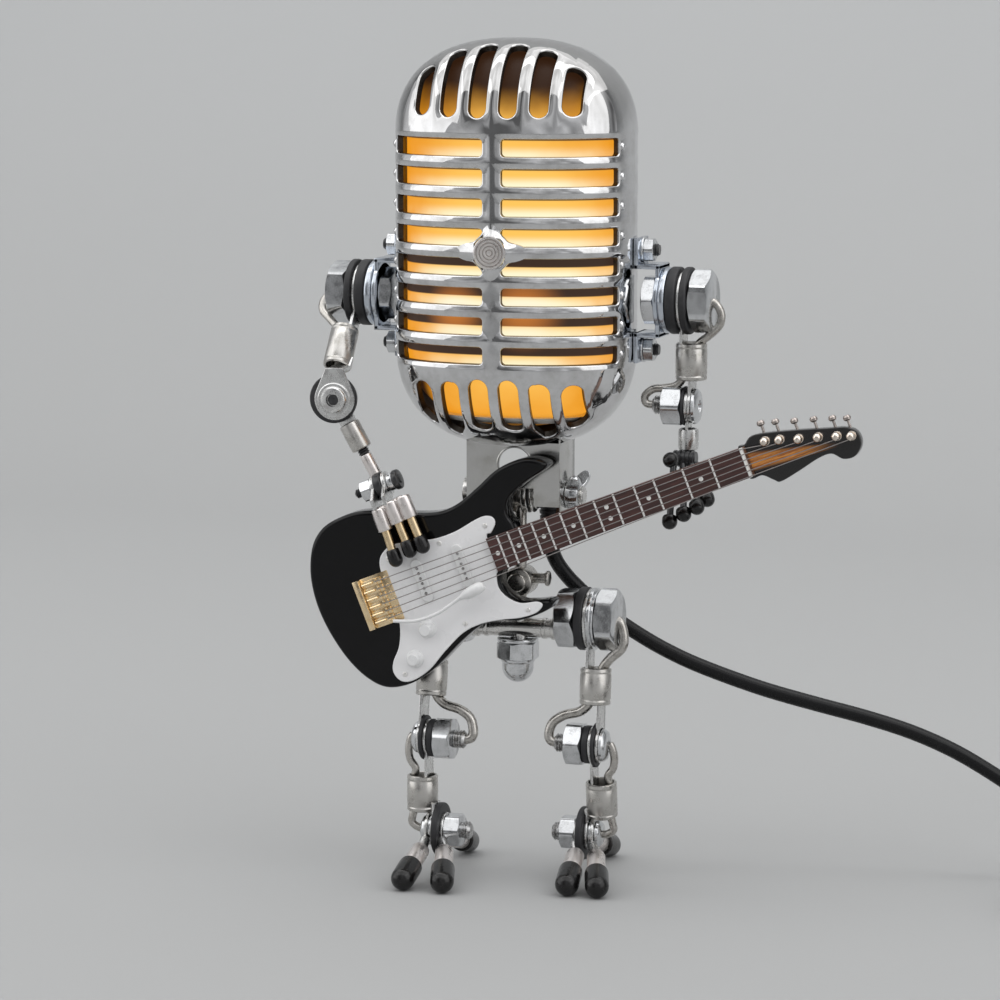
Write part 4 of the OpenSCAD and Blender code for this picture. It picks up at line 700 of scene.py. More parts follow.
plug_piece = Piece("mains_plug_body", "torso", PLASTIC, "mains_plug")
plug_at = shift(COIL.x + INNER_R, COIL.y - 18, 10.5) @ turn(-90, "Z")
plug_line = smooth_path([(0, -4.6), (6, -8.6), (20, -9), (24, -8), (24, 8), (20, 9), (6, 8.6), (0, 4.6)],
                        4, loop=True)
plug_piece.slab(plug_line, 0, 11, edge=2, at=plug_at)
boot = [(-16, 0), (-16, 2.9)]
for k in range(5):
    x, r = -15.6 + 3.2 * k, 3.0 + 0.26 * k
    boot += [(x, r), (x + 1.8, r + 0.1), (x + 1.9, r - 0.4), (x + 3.0, r - 0.35)]
plug_piece.lathe(boot + [(1, 4.5), (1, 0)], at=plug_at @ shift(0, 0, 4.2))
plug = plug_piece.done("black_plastic")
prongs_piece = Piece("mains_plug_prongs", "torso", BRASS)
for y in (-5.5, 5.5):
    prongs_piece.box(24, 40, y - 3.1, y + 3.1, 4.75, 6.25, 0.4, at=plug_at)
prongs = prongs_piece.done("brass")
print("cord length", round(cord_mm), "mm")

# %% [markdown]
# ## Head
# The shell is one surface over the superellipse head. Cells are cut out of it in rows, and each
# cell has a slot: a rounded rim that rolls into the wall. Rows of the straight middle hold the
# horizontal slots, and columns of the two caps hold the upright slots. Cutting the slots with
# Booleans is quicker to write, but it leaves long thin faces that spoil a mirror finish. So the
# form is a formula first, and the next cell lays an even mesh on it.

# %% Head form
HEAD_A, HEAD_B, CAP_H = 39.3, 28.2, 32.0
PLAN, CAPP = 2.3, 2.4
Z_LOW, Z_HIGH = 175.3, 240.3
SEAT_Z = 144.4
SLOT_LOW, PITCH, SLOTS = 172.6, ROW_PITCH, 8
ROW_LOW = SLOT_LOW - PITCH / 2
ROW_HIGH = ROW_LOW + SLOTS * PITCH
WALL, RIM, SAG, CORNER = 2.6, 0.55, 0.28, 1.3
# The open height of a row's slot, and the open widths of the upper and the lower cap's slots.
OPEN_H, OPEN_HIGH, OPEN_LOW = 5.6, 5.9, 6.6
# Half the middle bar between the slots of a row, and where a slot ends at the side.
BAR_HALF, SLOT_END_X = 3.1, 37.4
CHIN = 1.098
# Where each cap slot starts and ends, as parts of the cap's length, by its x and its cap.
CAP_ENDS = {(5, False): (0.10, 0.75), (15, False): (0.11, 0.71), (25, False): (0.14, 0.60),
            (5, True): (0.09, 0.66), (15, True): (0.10, 0.65), (25, True): (0.13, 0.64)}


def squeeze(z):
    """How much the plan shrinks at height z."""
    s = max(0.0, z - Z_HIGH, Z_LOW - z) / CAP_H
    return max(0.0, 1 - s ** CAPP) ** (1 / CAPP)


def plan_y(x, f):
    """Half the head's depth at x, where the plan has shrunk to f."""
    return HEAD_B * max(0.0, f ** PLAN - abs(x / HEAD_A) ** PLAN) ** (1 / PLAN)


def chin(z):
    """The lower cap is a little deeper than the upper one."""
    return ROW_LOW - (ROW_LOW - z) * CHIN if z < ROW_LOW else z


def side_point(phi, z):
    """A point at the angle phi round the plan, from -90 to 90 degrees."""
    f = squeeze(z)
    x = HEAD_A * f * math.copysign(abs(math.sin(phi)) ** (2 / PLAN), phi)
    return Vector((x, -HEAD_B * f * abs(math.cos(phi)) ** (2 / PLAN), z))


def cap_curve(x, low):
    """The cap's outline in the slice at x, from the slot rows to its end, by even length."""
    start = ROW_LOW if low else ROW_HIGH
    y0 = plan_y(x, squeeze(start))
    points = []
    for k in range(41):
        y = y0 * math.cos(math.pi / 2 * k / 40) ** 1.15
        rho = (abs(x / HEAD_A) ** PLAN + (y / HEAD_B) ** PLAN) ** (1 / PLAN)
        h = CAP_H * max(0.0, 1 - min(1.0, rho) ** CAPP) ** (1 / CAPP)
        z = Z_LOW - h if low else Z_HIGH + h
        if low and z < SEAT_Z:
            y_prev, z_prev = points[-1]
            part = (z_prev - SEAT_Z) / (z_prev - z)
            points.append((y_prev + (y - y_prev) * part, SEAT_Z))
            break
        points.append((y, z))
    lengths = np.concatenate([[0], np.cumsum([math.dist(a, b) for a, b in zip(points, points[1:])])])
    return points, lengths


curves = {}


def cap_point(x, part, low):
    key = (round(x, 5), low)
    if key not in curves:
        curves[key] = cap_curve(x, low)
    points, lengths = curves[key]
    s = part * lengths[-1]
    y = np.interp(s, lengths, [p[0] for p in points])
    z = np.interp(s, lengths, [p[1] for p in points])
    return Vector((x, -y, chin(z)))


# The plan's front, from side to side, as angle, x and length from the middle.
MID_Z = 200.0
PHI = np.linspace(-math.pi / 2, math.pi / 2, 2000)
PLAN_LINE = [side_point(p, MID_Z) for p in PHI]
PLAN_ARC = np.concatenate([[0], np.cumsum([(b - a).length for a, b in zip(PLAN_LINE, PLAN_LINE[1:])])])
PLAN_ARC -= PLAN_ARC[-1] / 2
PLAN_X = [p.x for p in PLAN_LINE]
print("head", 2 * HEAD_A, "x", 2 * HEAD_B, "mm, its front", round(2 * PLAN_ARC[-1], 1), "mm round")


def around(u, z):
    """A point u millimetres round the plan from the middle of the front."""
    return side_point(np.interp(u, PLAN_ARC, PHI), z)


def arc_of(x):
    return float(np.interp(x, PLAN_X, PLAN_ARC))


# %% [markdown]
# On the real shell each slot is punched, and its edge rolls inwards. A cell is built as rings:
# from the cell's own border inwards to the slot, over the rolled rim, down the wall and back
# along the inside. Neighbouring cells share their border points, and merging those makes the
# shell one piece.

# %% Slotted cells


def cell(bm, put, us, vs, hole, r, length=1.0):
    """A patch of the shell with a round-cornered slot. put(u, v, depth) is a point at or below
    the surface, us and vs are the patch's edge samples, hole is (u0, u1, v0, v1) in the same
    units, r is the corners' radius, and length is millimetres per v."""
    u0, u1, v0, v1 = hole
    edge = [(u, vs[0]) for u in us[:-1]] + [(us[-1], v) for v in vs[:-1]]
    edge += [(u, vs[-1]) for u in reversed(us[1:])] + [(us[0], v) for v in reversed(vs[1:])]

    def hole_point(u, v, grow):
        """The point of the slot's edge that faces an edge sample."""
        cu = min(max(u, u0 + r), u1 - r)
        cv = min(max(v, v0 + r / length), v1 - r / length)
        du, dv = u - cu, (v - cv) * length
        size = math.hypot(du, dv)
        return cu + du / size * (r + grow), cv + dv / size * (r + grow) / length

    def rim(grow, depth):
        return [bm.verts.new(put(*hole_point(u, v, grow), depth)) for u, v in edge]

    loops = []
    for part in np.linspace(0, 1, 4):
        line = []
        for u, v in edge:
            hu, hv = hole_point(u, v, RIM)
            line.append(bm.verts.new(put(u + (hu - u) * part, v + (hv - v) * part, SAG * part * part)))
        loops.append(line)
    for a in (math.radians(25), math.radians(45), math.radians(67.5), math.radians(90)):
        loops.append(rim(RIM * (1 - math.sin(a)), SAG + RIM * (1 - math.cos(a))))
    loops += [rim(0, WALL * 0.6), rim(0, WALL)]
    loops.append([bm.verts.new(put(u, v, WALL)) for u, v in edge])
    # The slot's walls and the back take the inner material, a near-black metal that paints the shade inside
    # the slots.
    for i, band in enumerate(skin(bm, loops)):
        for face in band:
            face.material_index = int(i >= len(loops) - 4)


def row_put(u, v, depth):
    """A point on the straight middle or below it."""
    e = 0.02
    du = around(u + e, v) - around(u - e, v)
    dv = around(u, v + e) - around(u, v - e)
    return around(u, v) - du.cross(dv).normalized() * depth


def samples(stops, spacing):
    """Evenly spaced values through the stops."""
    out = [stops[0]]
    for a, b in zip(stops, stops[1:]):
        n = max(1, round(abs(b - a) / spacing))
        out += [a + (b - a) * k / n for k in range(1, n + 1)]
    return out


def shell(name, node, low_slots, rear):
    """One half of the head."""
    bm = bmesh.new()
    f = squeeze(ROW_LOW)
    end = PLAN_ARC[-1]
    stops = [-end] + [arc_of(x / f) for x in range(-30, 31, 10)] + [end]
    arcs = samples(stops, 1.25)
    far = arc_of(SLOT_END_X)
    for row in range(SLOTS):
        z0 = ROW_LOW + row * PITCH
        zs = samples([z0, z0 + PITCH], 1.25)
        for sign in (-1, 1):
            us = [u for u in arcs if u * sign >= -1e-6]
            hole = (BAR_HALF, far) if sign > 0 else (-far, -BAR_HALF)
            cell(bm, row_put, us, zs, (*hole, z0 + (PITCH - OPEN_H) / 2, z0 + (PITCH + OPEN_H) / 2),
                 CORNER)
    for low in (False, True):
        vs = [k / 30 for k in range(31)]
        for a, b in zip(stops, stops[1:]):
            us = [u for u in arcs if a - 1e-6 <= u <= b + 1e-6]
            x = round(x_of((a + b) / 2, True) / 5) * 5
            if abs(x) < 30 and (not low or abs(x) in low_slots):
                cap_cell(bm, x, us, vs, low)
            else:
                patch(bm, us, vs, low)
    if rear:
        for v in bm.verts:
            v.co.y = -v.co.y
    bmesh.ops.remove_doubles(bm, verts=bm.verts, dist=0.004)
    return Piece(name, "head", CHROME, node, sharp=50, inside=INSIDE_SHADE).take(bm)


def x_of(u, low):
    """The x of a column at u, where the rows meet a cap."""
    return side_point(np.interp(u, PLAN_ARC, PHI), ROW_LOW if low else ROW_HIGH).x


def cap_put(x, part, low, depth):
    """A point on the cap or below it, with the normal of the cap's own form."""
    p = cap_point(x, part, low)
    h = abs(p.z - (Z_LOW if low else Z_HIGH)) / CAP_H
    rho = max(1e-4, (abs(x / HEAD_A) ** PLAN + abs(p.y / HEAD_B) ** PLAN) ** (1 / PLAN))
    n = Vector((math.copysign(abs(x / HEAD_A) ** (PLAN - 1), x) / HEAD_A * rho ** (CAPP - PLAN),
                -abs(p.y / HEAD_B) ** (PLAN - 1) / HEAD_B * rho ** (CAPP - PLAN),
                (-1 if low else 1) * h ** (CAPP - 1) / CAP_H))
    return p - n.normalized() * depth


def patch(bm, us, vs, low):
    """A closed part of a cap. The lower one's rows start at its end, which turns both caps'
    faces the same way."""
    if low:
        vs = vs[::-1]
    for depth in (0, WALL):
        grid = [[bm.verts.new(cap_put(x_of(u, low), v, low, depth)) for u in us] for v in vs]
        for j in range(len(vs) - 1):
            for i in range(len(us) - 1):
                face = bm.faces.new((grid[j][i], grid[j][i + 1], grid[j + 1][i + 1], grid[j + 1][i]))
                face.material_index = int(depth > 0)


def cap_cell(bm, x, us, vs, low):
    """A column of a cap, with its upright slot."""
    r = (OPEN_LOW if low else OPEN_HIGH) / 2
    cell(bm, lambda q, v, depth: cap_put(q, v, low, depth), [x_of(u, low) for u in us], vs,
         (x - r, x + r, *CAP_ENDS[(abs(x), low)]), r, cap_curve(x, low)[1][-1])


front = shell("head_shell_front", "head_front_shell", (5, 15, 25), False).done("head_chrome")
rear = shell("head_shell_rear", "head_rear_shell", (15, 25), True).done("head_chrome")
print("shell faces", len(front.data.polygons), len(rear.data.polygons))

# %% [markdown]
# The sleeve follows the shell's own formula with a gap to it. It could be a scaled copy of the
# shell, but then the gap would be wide at the ends and narrow at the sides.

# %% Diffuser
diffuser = Piece("amber_diffuser_body", "head", DIFFUSER, "light_diffuser", sharp=60)
bm = bmesh.new()
# The room between the diffuser and the head's surface; the one below is the one behind.
SIDE_GAP, FRONT_GAP, BACK_GAP, TOP_GAP = 3.7, 5.2, 6.2, 3.8
LEVELS = 15
rows = []
for a in (*np.linspace(-84, 0, LEVELS), *np.linspace(0, 84, LEVELS)):
    c, s = math.cos(math.radians(a)), math.sin(math.radians(abs(a)))
    f = c ** (2 / CAPP)
    upper = len(rows) >= LEVELS
    h = (CAP_H - (TOP_GAP if upper else BACK_GAP)) * s ** (2 / CAPP)
    z = Z_HIGH + h if upper else Z_LOW - h
    line = []
    for t in angles(96):
        x = (HEAD_A - SIDE_GAP) * f * math.copysign(abs(math.cos(t)) ** (2 / PLAN), math.cos(t))
        depth = HEAD_B - (FRONT_GAP if math.sin(t) < 0 else BACK_GAP)
        y = depth * f * math.copysign(abs(math.sin(t)) ** (2 / PLAN), math.sin(t))
        line.append(bm.verts.new((x, y, chin(z))))
    rows.append(line)
skin(bm, rows)
bm.faces.new(rows[-1])
bm.faces.new(rows[0])
diffuser.take(bm).done("amber_diffuser")

# %% [markdown]
# The medallion is a plain screw head with concentric grooves, on a four-pointed boss that flows
# into the bars. The head is turned, grooves and all. The boss is a ring of points whose reach
# swells in four directions, laid on the shell's front, which is simpler than sculpting it.

# %% Medallion and boss
MED_Z = SLOT_LOW + 3.5 * PITCH
GROOVES = (4.3, 3.2, 2.1, 1.0)
boss = Piece("medallion_boss", "head", CHROME, sharp=60)
bm = bmesh.new()
boss_rings = []
for k in range(9):
    part = k / 8
    line = []
    for a in angles(96):
        points = abs(math.cos(2 * a)) ** 4
        reach = 12.0 if abs(math.cos(a)) > 0.7 else 10.0
        r = 5.0 + (1.3 + (reach - 6.3) * points) * part
        x = r * math.cos(a)
        y = -plan_y(x, 1.0) - 1.6 * (1 - part) ** 2 - 0.12 + 0.35 * part * part
        line.append(bm.verts.new((x, y, MED_Z + r * math.sin(a))))
    boss_rings.append(line)
boss_rings.append([bm.verts.new((v.co.x, v.co.y + 1.4, v.co.z)) for v in boss_rings[-1]])
skin(bm, boss_rings)
bm.faces.new(boss_rings[0])
bm.faces.new(list(reversed(boss_rings[-1])))
boss.take(bm).done("head_chrome")
forward = shift(0, -HEAD_B, MED_Z) @ turn(-90, "Z")
medal = Piece("medallion_disc", "head", MEDAL, "medallion", at=forward)
face = [(-0.2, 0), (-0.2, 5.3), (1.7, 5.3), (2.0, 5.15), (2.1, 4.9)]
for groove in GROOVES:
    face += [(2.1, groove + 0.35), (1.75, groove + 0.12), (1.75, groove - 0.12), (2.1, groove - 0.35)]
medal.lathe(face + [(2.15, 0)], steps=64).done("head_chrome")
# Painted shade: a thin dark ring lies at the bottom of each groove.
medal_groove_shade = Piece("medallion_groove_shade", "head", PEG, at=forward)
for groove in GROOVES:
    medal_groove_shade.ring(1.68, 1.78, 2 * groove + 0.14, 2 * groove - 0.14, 0.02)
medal_groove_shade.done("black_plastic")

# %% [markdown]
# Small bright studs sit in the outer ends of the slots. Each is one turned disc with a domed
# face, turned onto the shell's own normal.

# %% Beads in the ends of the slots, on both sides of the front
studs = Piece("slot_end_beads", "head", CHROME)
for row in range(SLOTS):
    z = SLOT_LOW + row * PITCH
    for sign in (-1, 1):
        p = around(sign * arc_of(38.0), z)
        n = Vector((p.x / HEAD_A ** 2, p.y / HEAD_B ** 2, 0)).normalized()
        studs.disc(-2.0, 0.5, 2.9, 0.4, 1.2, at=from_to(p, p + n), steps=24)
studs.done("head_chrome")

# %% [markdown]
# ## Neck
# The yoke is a bent sheet that hangs from the head's seat. The pivot bolt runs through its cheeks
# and the eye of the spine, with washers and a wing nut. The front of the yoke has a hole and a
# notch, so it is a flat outline with a hole, filled with triangles and given its thickness. The
# cheeks are plain boxes with rounded edges.

# %% Yoke, pivot bolt and wing nut
SPINE_X, PIVOT_Z = 1.5, 125.5
EYELET_X, EYELET_Z, EYELET_R = 2.1, 135.8, 5.5
yoke = Piece("neck_yoke_sheet", "head", YOKE_METAL, "neck_yoke")
yoke.box(-14.25, 17.25, -8.85, 8.85, 142.8, 144.4, 0.35)
for x in (-14.25, 15.65):
    yoke.box(x, x + 1.6, -8.6, 8.85, 118.9, 144.2, 0.4)
outline_xz = [(-14.1, 144.2), (-14.1, 122.5), (-5.5, 122.5), (-5.5, 128.3), (8.5, 128.3), (8.5, 122.5),
              (17.1, 122.5), (17.1, 144.2)]
hole_xz = [(EYELET_X + EYELET_R * math.cos(a), EYELET_Z + EYELET_R * math.sin(a)) for a in angles(48)]
yoke.plate(outline_xz, hole_xz, 7.3, 8.85, at=STAND)
yoke.ring(7.2, 9.0, 12.6, 10.9, 0.5, at=shift(EYELET_X, 0, EYELET_Z) @ turn(-90, "Z"))
yoke.done("zinc_plate")

pivot = shift(SPINE_X, 0, PIVOT_Z)
bolt = Piece("pivot_bolt_steel", "torso", TUBE, "neck_pivot_bolt", at=pivot)
bolt.disc(-18.45, -15.85, 10, 0.3, 0.2).threads(-15.8, 21.6, 6, 0.9)
WASHERS = ((1.6, 3.5, 12.8), (4.1, 5.2, 12.2), (5.2, 6.2, 9.8), (-5.2, -1.6, 12.8), (-6.4, -5.2, 9.8))
for s0, s1, d in WASHERS:
    bolt.ring(s0, s1, d, 5.6, 0.45 if d > 12 else 0.25)
bolt.done("steel_bolt")
packing = Piece("pivot_bolt_packing", "torso", RUBBER, at=pivot)
packing.ring(3.5, 4.1, 12, 6, 0.1)
packing.done("black_rubber")
wing = Piece("wing_nut_body", "wing_nut", HEX, "neck_wing_nut", at=shift(SPINE_X + 15.85, 0, PIVOT_Z))
wing.ring(0, 4.4, 9, 6.1, 0.4)
EAR = smooth_path([(-1.6, 0.6), (2.2, 0.6), (3.8, -3.4), (3.4, -6), (1.4, -6.4), (-0.6, -3.6)], 5, loop=True)
for degrees in (-48, 48):
    wing.slab(EAR, -0.8, 0.8, 0.35, at=turn(degrees, "X") @ shift(2, 0, 3.6) @ turn(-90, "X"))
wing.done("zinc_plate")

# %% [markdown]
# A rod with an eye carries everything: the head above it, the guitar in front and the pelvis
# tube below, which an acorn nut closes. All are turned forms, so each is a few discs, rings and
# one spun section. The cord's boot is a spun section too, with its ribs cut in a loop.

# %% Spine, pelvis and acorn nut
PELVIS_Z, HIP_Z = 83.4, 85.3
spine = Piece("spine_rod", "torso", ROD, "spine_post")
spine.disc(85.9, 121.5, 4, 0.1, at=upright(SPINE_X, 0, 0))
spine.ring(-1.5, 1.5, 10, 6.1, 0.3, at=pivot)
knuckle = shift(SPINE_X, 0, 96.6) @ turn(-90, "Z")
spine.disc(-5, 5, 10, 0.6, at=knuckle).disc(-5.5, 5.5, 6.4, 0.8, at=knuckle)
spine.disc(4, 9, 3.4, 0.4, at=shift(SPINE_X, 0, 97.8))
spine.disc(8.6, 9.9, 5.0, 0.5, at=shift(SPINE_X, 0, 97.8))
spine.disc(86.2, 88.9, 8, 0.5, at=upright(SPINE_X, 0, 0))
spine.done("dark_steel")
TUBE_Z = PELVIS_Z - 2.0
pelvis = Piece("pelvis_cross_tube", "torso", TUBE, "pelvis_tube", at=shift(0, 0, TUBE_Z))
pelvis.disc(-12.4, 12.4, 6.4, 0.1)
for side in (PLAIN, MIRROR):
    pelvis.disc(12.3, 14.7, 7.4, 0.4, at=side)
    pelvis.ring(9.2, 10.6, 7.0, 6.0, 0.25, at=side)
pelvis.disc(-9, 4.6, 5, 0.1, at=upright(SPINE_X, 0, 0))
pelvis.done("dark_steel")
ACORN_X, ACORN_TOP = SPINE_X - 0.9, TUBE_Z - 3.4
acorn = Piece("acorn_cap_nut", "torso", HEX, "acorn_nut", at=upright(ACORN_X, 0, ACORN_TOP))
acorn.ring(-1.2, 0, 13.6, 5.2, 0.3)
acorn.hexagon(-7.0, -1.2, 12.6)
acorn.lathe([(-5.4, 0), (-5.4, 5.6), (-7.6, 5.6), (-8.2, 5.2)] + dome(-9.6, 5.2, 10, reach=-5.2))
acorn.done("steel_bolt")
gland = Piece("cord_gland_boot", "torso", PLASTIC, "cord_gland")
gland.ring(8.1, 9.3, 9.4, 6.1, 0.2, at=shift(0, 0, PIVOT_Z))
gland.box(8.1, 9.3, 0, 7.4, PIVOT_Z - 3.2, PIVOT_Z + 3.2, 0.25)
boot = [(108.5, 0), (108.5, 2.9)]
for k in range(6):
    z, r = 108.7 + 1.9 * k, 3.0 + 0.16 * k
    boot += [(z, r), (z + 1.1, r + 0.08), (z + 1.2, r - 0.35), (z + 1.85, r - 0.3)]
boot += [(120.6, 3.9), (120.8, 4.0), (129.0, 4.0), (129.5, 3.6), (129.5, 0)]
gland.lathe(boot, at=upright(9.7, 7.4, 0))
gland.done("black_plastic")

# %% [markdown]
# ## Hips and legs
# A leg is a hexagon bolt at the hip, a bent rod, a crimped ferrule with spade lugs, a knee bolt,
# and the same again down to the ankle, where three capped prongs make the foot. Drawing each leg
# in its final lean would double the work. So the same leg is built for both sides in its own
# hanging frame, in numbers that read like a drawing, and a matrix leans and mirrors it.

# %% Legs
# The hips' and shoulders' hexagons, across their flats.
BIG = 18.0
sides = {"right": MIRROR, "left": PLAIN}
HIP_Y = 0.0
KNEE_Y = {"right": -8.0, "left": -4.0}
ANKLE_Y = {"right": -8.0, "left": 0.0}
KNEE_Z, ANKLE_Z = 44.6, 14.3
# How far below its joint each ferrule starts, its length, and how deep a lug's tail reaches in.
THIGH_TOP, SHIN_TOP, FERRULE_H, TAIL = 15.8, 12.4, 12, 3
# The front prongs' tips of each foot, the inner and the outer, and the rear one, along X.
TOES = {"right": (14.0, 27.2), "left": (25.5, 35.4)}
HEEL_X, TOE_R, CAP_R = 23.5, 3.75, 3.9
nuts = Piece("hip_lock_nuts", "torso", HEX, "hip_inner_nuts", at=shift(0, 0, HIP_Z))
for side in sides.values():
    nuts.hexagon(14.8, 21.7, BIG, bore=12.2, at=side)
    nuts.disc(15.4, 16.6, 12.3, 0.2, at=side)
nuts.done("steel_bolt")


def lean(dy, dz):
    """The angle of a limb from the vertical, seen from the side."""
    return math.degrees(math.atan2(dy, dz))


def ferrule(piece, x, top, d=10.2, h=FERRULE_H, wall=1.0, ridge=True):
    """A crimped ferrule, hanging from z = -top, with rolled lips and crimp lines near both ends."""
    r = d / 2
    section = [(0.3, r - 0.1), (0.1, r - 0.4), (0, r - 0.65), (0.15, r - 0.9), (0.6, r - wall),
               (h - 0.6, r - wall), (h - 0.15, r - 0.9), (h, r - 0.65), (h - 0.1, r - 0.4),
               (h - 0.3, r - 0.1)]
    if ridge:
        section += [(h - 1.2, r), (h - 1.5, r - 0.16), (h - 1.9, r - 0.16), (h - 2.2, r),
                    (2.2, r), (1.9, r - 0.16), (1.5, r - 0.16), (1.2, r)]
    else:
        section += [(h - 0.9, r), (0.9, r)]
    piece.lathe(section, at=upright(x, 0, -top - h), closed=True)


def tongue(piece, x0, ring_d, bore, width, reach, up=False):
    """A flat ring lug, 1 mm thick, whose tail reaches down or up into a ferrule."""
    flip = Matrix.Scale(-1, 4, (0, 0, 1)) if up else PLAIN
    r = ring_d / 2 - 0.5
    root = -math.sqrt(max(0.1, r * r - width * width / 4))
    piece.ring(x0, x0 + 1, ring_d, bore, 0.2, at=flip)
    piece.box(x0, x0 + 1, -width / 2, width / 2, -reach, root, 0.2, at=flip)


def leg(name):
    side, ky, ay = sides[name], KNEE_Y[name], ANKLE_Y[name]
    thigh_lean, shin_lean = lean(HIP_Y - ky, HIP_Z - KNEE_Z), lean(ky - ay, KNEE_Z - ANKLE_Z)
    thigh_len = math.hypot(HIP_Y - ky, HIP_Z - KNEE_Z)
    shin_len = math.hypot(ky - ay, KNEE_Z - ANKLE_Z)
    hip = shift(0, HIP_Y, HIP_Z) @ turn(-thigh_lean, "X") @ side
    knee_of_thigh = shift(0, ky, KNEE_Z) @ turn(-thigh_lean, "X") @ side
    knee = shift(0, ky, KNEE_Z) @ turn(-shin_lean, "X") @ side
    ankle_of_shin = shift(0, ay, ANKLE_Z) @ turn(-shin_lean, "X") @ side
    ankle = shift(0, ay, ANKLE_Z) @ side

    def part(body, label, material, at, *nodes):
        return Piece(f"{name}_{label}", name + body, material, *(f"{name}_{node}" for node in nodes), at=at)

    p = part("_thigh", "hip_hexagon", HEX, hip, "hip_bolt")
    p.hexagon(28.2, 34.8, BIG, turned=30).disc(16.5, 29, 12, 0.3)
    p.ring(26.0, 27.4, 20.4, 11.6, 0.3).ring(27.4, 28.2, 18.6, 11.6, 0.2).done("steel_bolt")
    p = part("_thigh", "hip_rod", ROD, hip)
    p.rod([(33.8, 0, 0), (35.3, 0, -1), (36.5, 0, -5), (36.0, 0, -9), (32.2, 0, -12.6), (29.7, 0, -16.2),
           (29.4, 0, -19.8)], 3.2).done("steel_bolt")
    p = part("_thigh", "hip_rubber", RUBBER, hip, "leg_washers")
    p.ring(21.95, 24.8, 20.6, 12.1, 0.5).done("black_rubber")
    p = part("_thigh", "knee_rubbers", RUBBER, knee_of_thigh)
    p.ring(24.75, 26.8, 12.4, 6.1, 0.4).ring(28.0, 29.0, 14.6, 6.1, 0.3).done("black_rubber")
    p = part("_thigh", "thigh_sleeve", FERRULE, hip, "thigh_ferrule")
    ferrule(p, 27.5, THIGH_TOP)
    p.done("stainless_lug")
    low = thigh_len - THIGH_TOP - FERRULE_H
    p = part("_thigh", "thigh_lugs", LUG, hip)
    tongue(p, 24.9, 19.6, 12.1, 8.0, THIGH_TOP + TAIL)
    p.at = knee_of_thigh
    tongue(p, 29.1, 11.6, 6.1, 8.0, low + TAIL, up=True)
    p.done("stainless_lug")
    p = part("_thigh", "knee_hexagon", HEX, knee_of_thigh, "knee_bolt")
    p.hexagon(18.6, 24.6, 13).disc(24, 31.7, 6, 0.2).done("steel_bolt")
    p = part("_thigh", "knee_thread", THREAD, knee_of_thigh)
    p.threads(14.6, 18.7, 6, 0.9).done("steel_bolt")
    p = part("_thigh", "knee_rod", ROD, knee_of_thigh)
    p.rod([(25.8, 0, low + 4), (25.6, 0, low + 0.4), (22.4, 0, low - 2.6), (17.4, 0, low - 4),
           (13.6, 0, low - 6.6), (12.3, 0, 2.8), (13, 0, 0.6), (15.2, 0, 0)], 3.2).done("steel_bolt")

    end = shin_len - SHIN_TOP - FERRULE_H
    p = part("_shin", "shin_sleeve", FERRULE, knee, "shin_ferrule")
    ferrule(p, 29.6, SHIN_TOP)
    p.done("stainless_lug")
    p = part("_shin", "shin_lugs", LUG, knee)
    tongue(p, 26.9, 12, 6.1, 7, SHIN_TOP + TAIL)
    p.at = ankle_of_shin
    tongue(p, 24.5, 11, 6.1, 6.4, end + TAIL, up=True)
    p.done("stainless_lug")
    p = part("_shin", "shin_buttons", HEX, knee)
    p.lathe([(30.2, 0), (30.2, 5.1), (30.5, 5.3), (31.2, 5.2), (32.0, 4.5), (32.5, 3.2), (32.6, 1.7),
             (32.2, 1.5), (32.2, 0)])
    p.at = ankle_of_shin
    p.lathe([(27.7, 0), (27.7, 4.2), (28.0, 4.4), (28.7, 4.2), (29.4, 3.4), (29.7, 2.0), (29.7, 0)])
    p.done("steel_bolt")
    p = part("_shin", "shin_rods", ROD, knee)
    p.rod([(32.8, 0, 0.6), (33.6, 0, -0.6), (34.3, 0, -4), (33.8, 0, -7.6), (32.0, 0, -10.4),
           (32.3, 0, -13.4), (32.5, 0, -16.4)], 2.6)
    p.at = ankle_of_shin
    p.rod([(29.1, 0, 0), (30.9, 0, 0), (33.2, 0, 1.6), (33.0, 0, 4), (32.5, 0, end),
           (32.5, 0, end + 3)], 2.6)
    p.done("steel_bolt")

    p = part("_foot_unit", "ankle_bolt", HEX, ankle, "foot")
    p.hexagon(15.8, 21.2, 10).disc(21, 28.9, 6, 0.2).ring(25.6, 26.6, 9.4, 5.6, 0.2).done("steel_bolt")
    part("_foot_unit", "ankle_thread", THREAD, ankle).threads(12.8, 15.9, 6, 0.9).done("steel_bolt")
    part("_foot_unit", "ankle_disc", RUBBER, ankle).ring(22.2, 24.4, 17.4, 5.6, 0.5).done("black_rubber")
    prongs = part("_foot_unit", "foot_prongs", LUG, ankle)
    collars = part("_foot_unit", "toe_collars", SLEEVE, ankle)
    caps = part("_foot_unit", "toe_covers", CAP, ankle, "toe_caps")
    inner, outer = 21.2, 26.6
    for x in (inner, outer):
        prongs.ring(x, x + 1, 11, 5.6, 0.2)
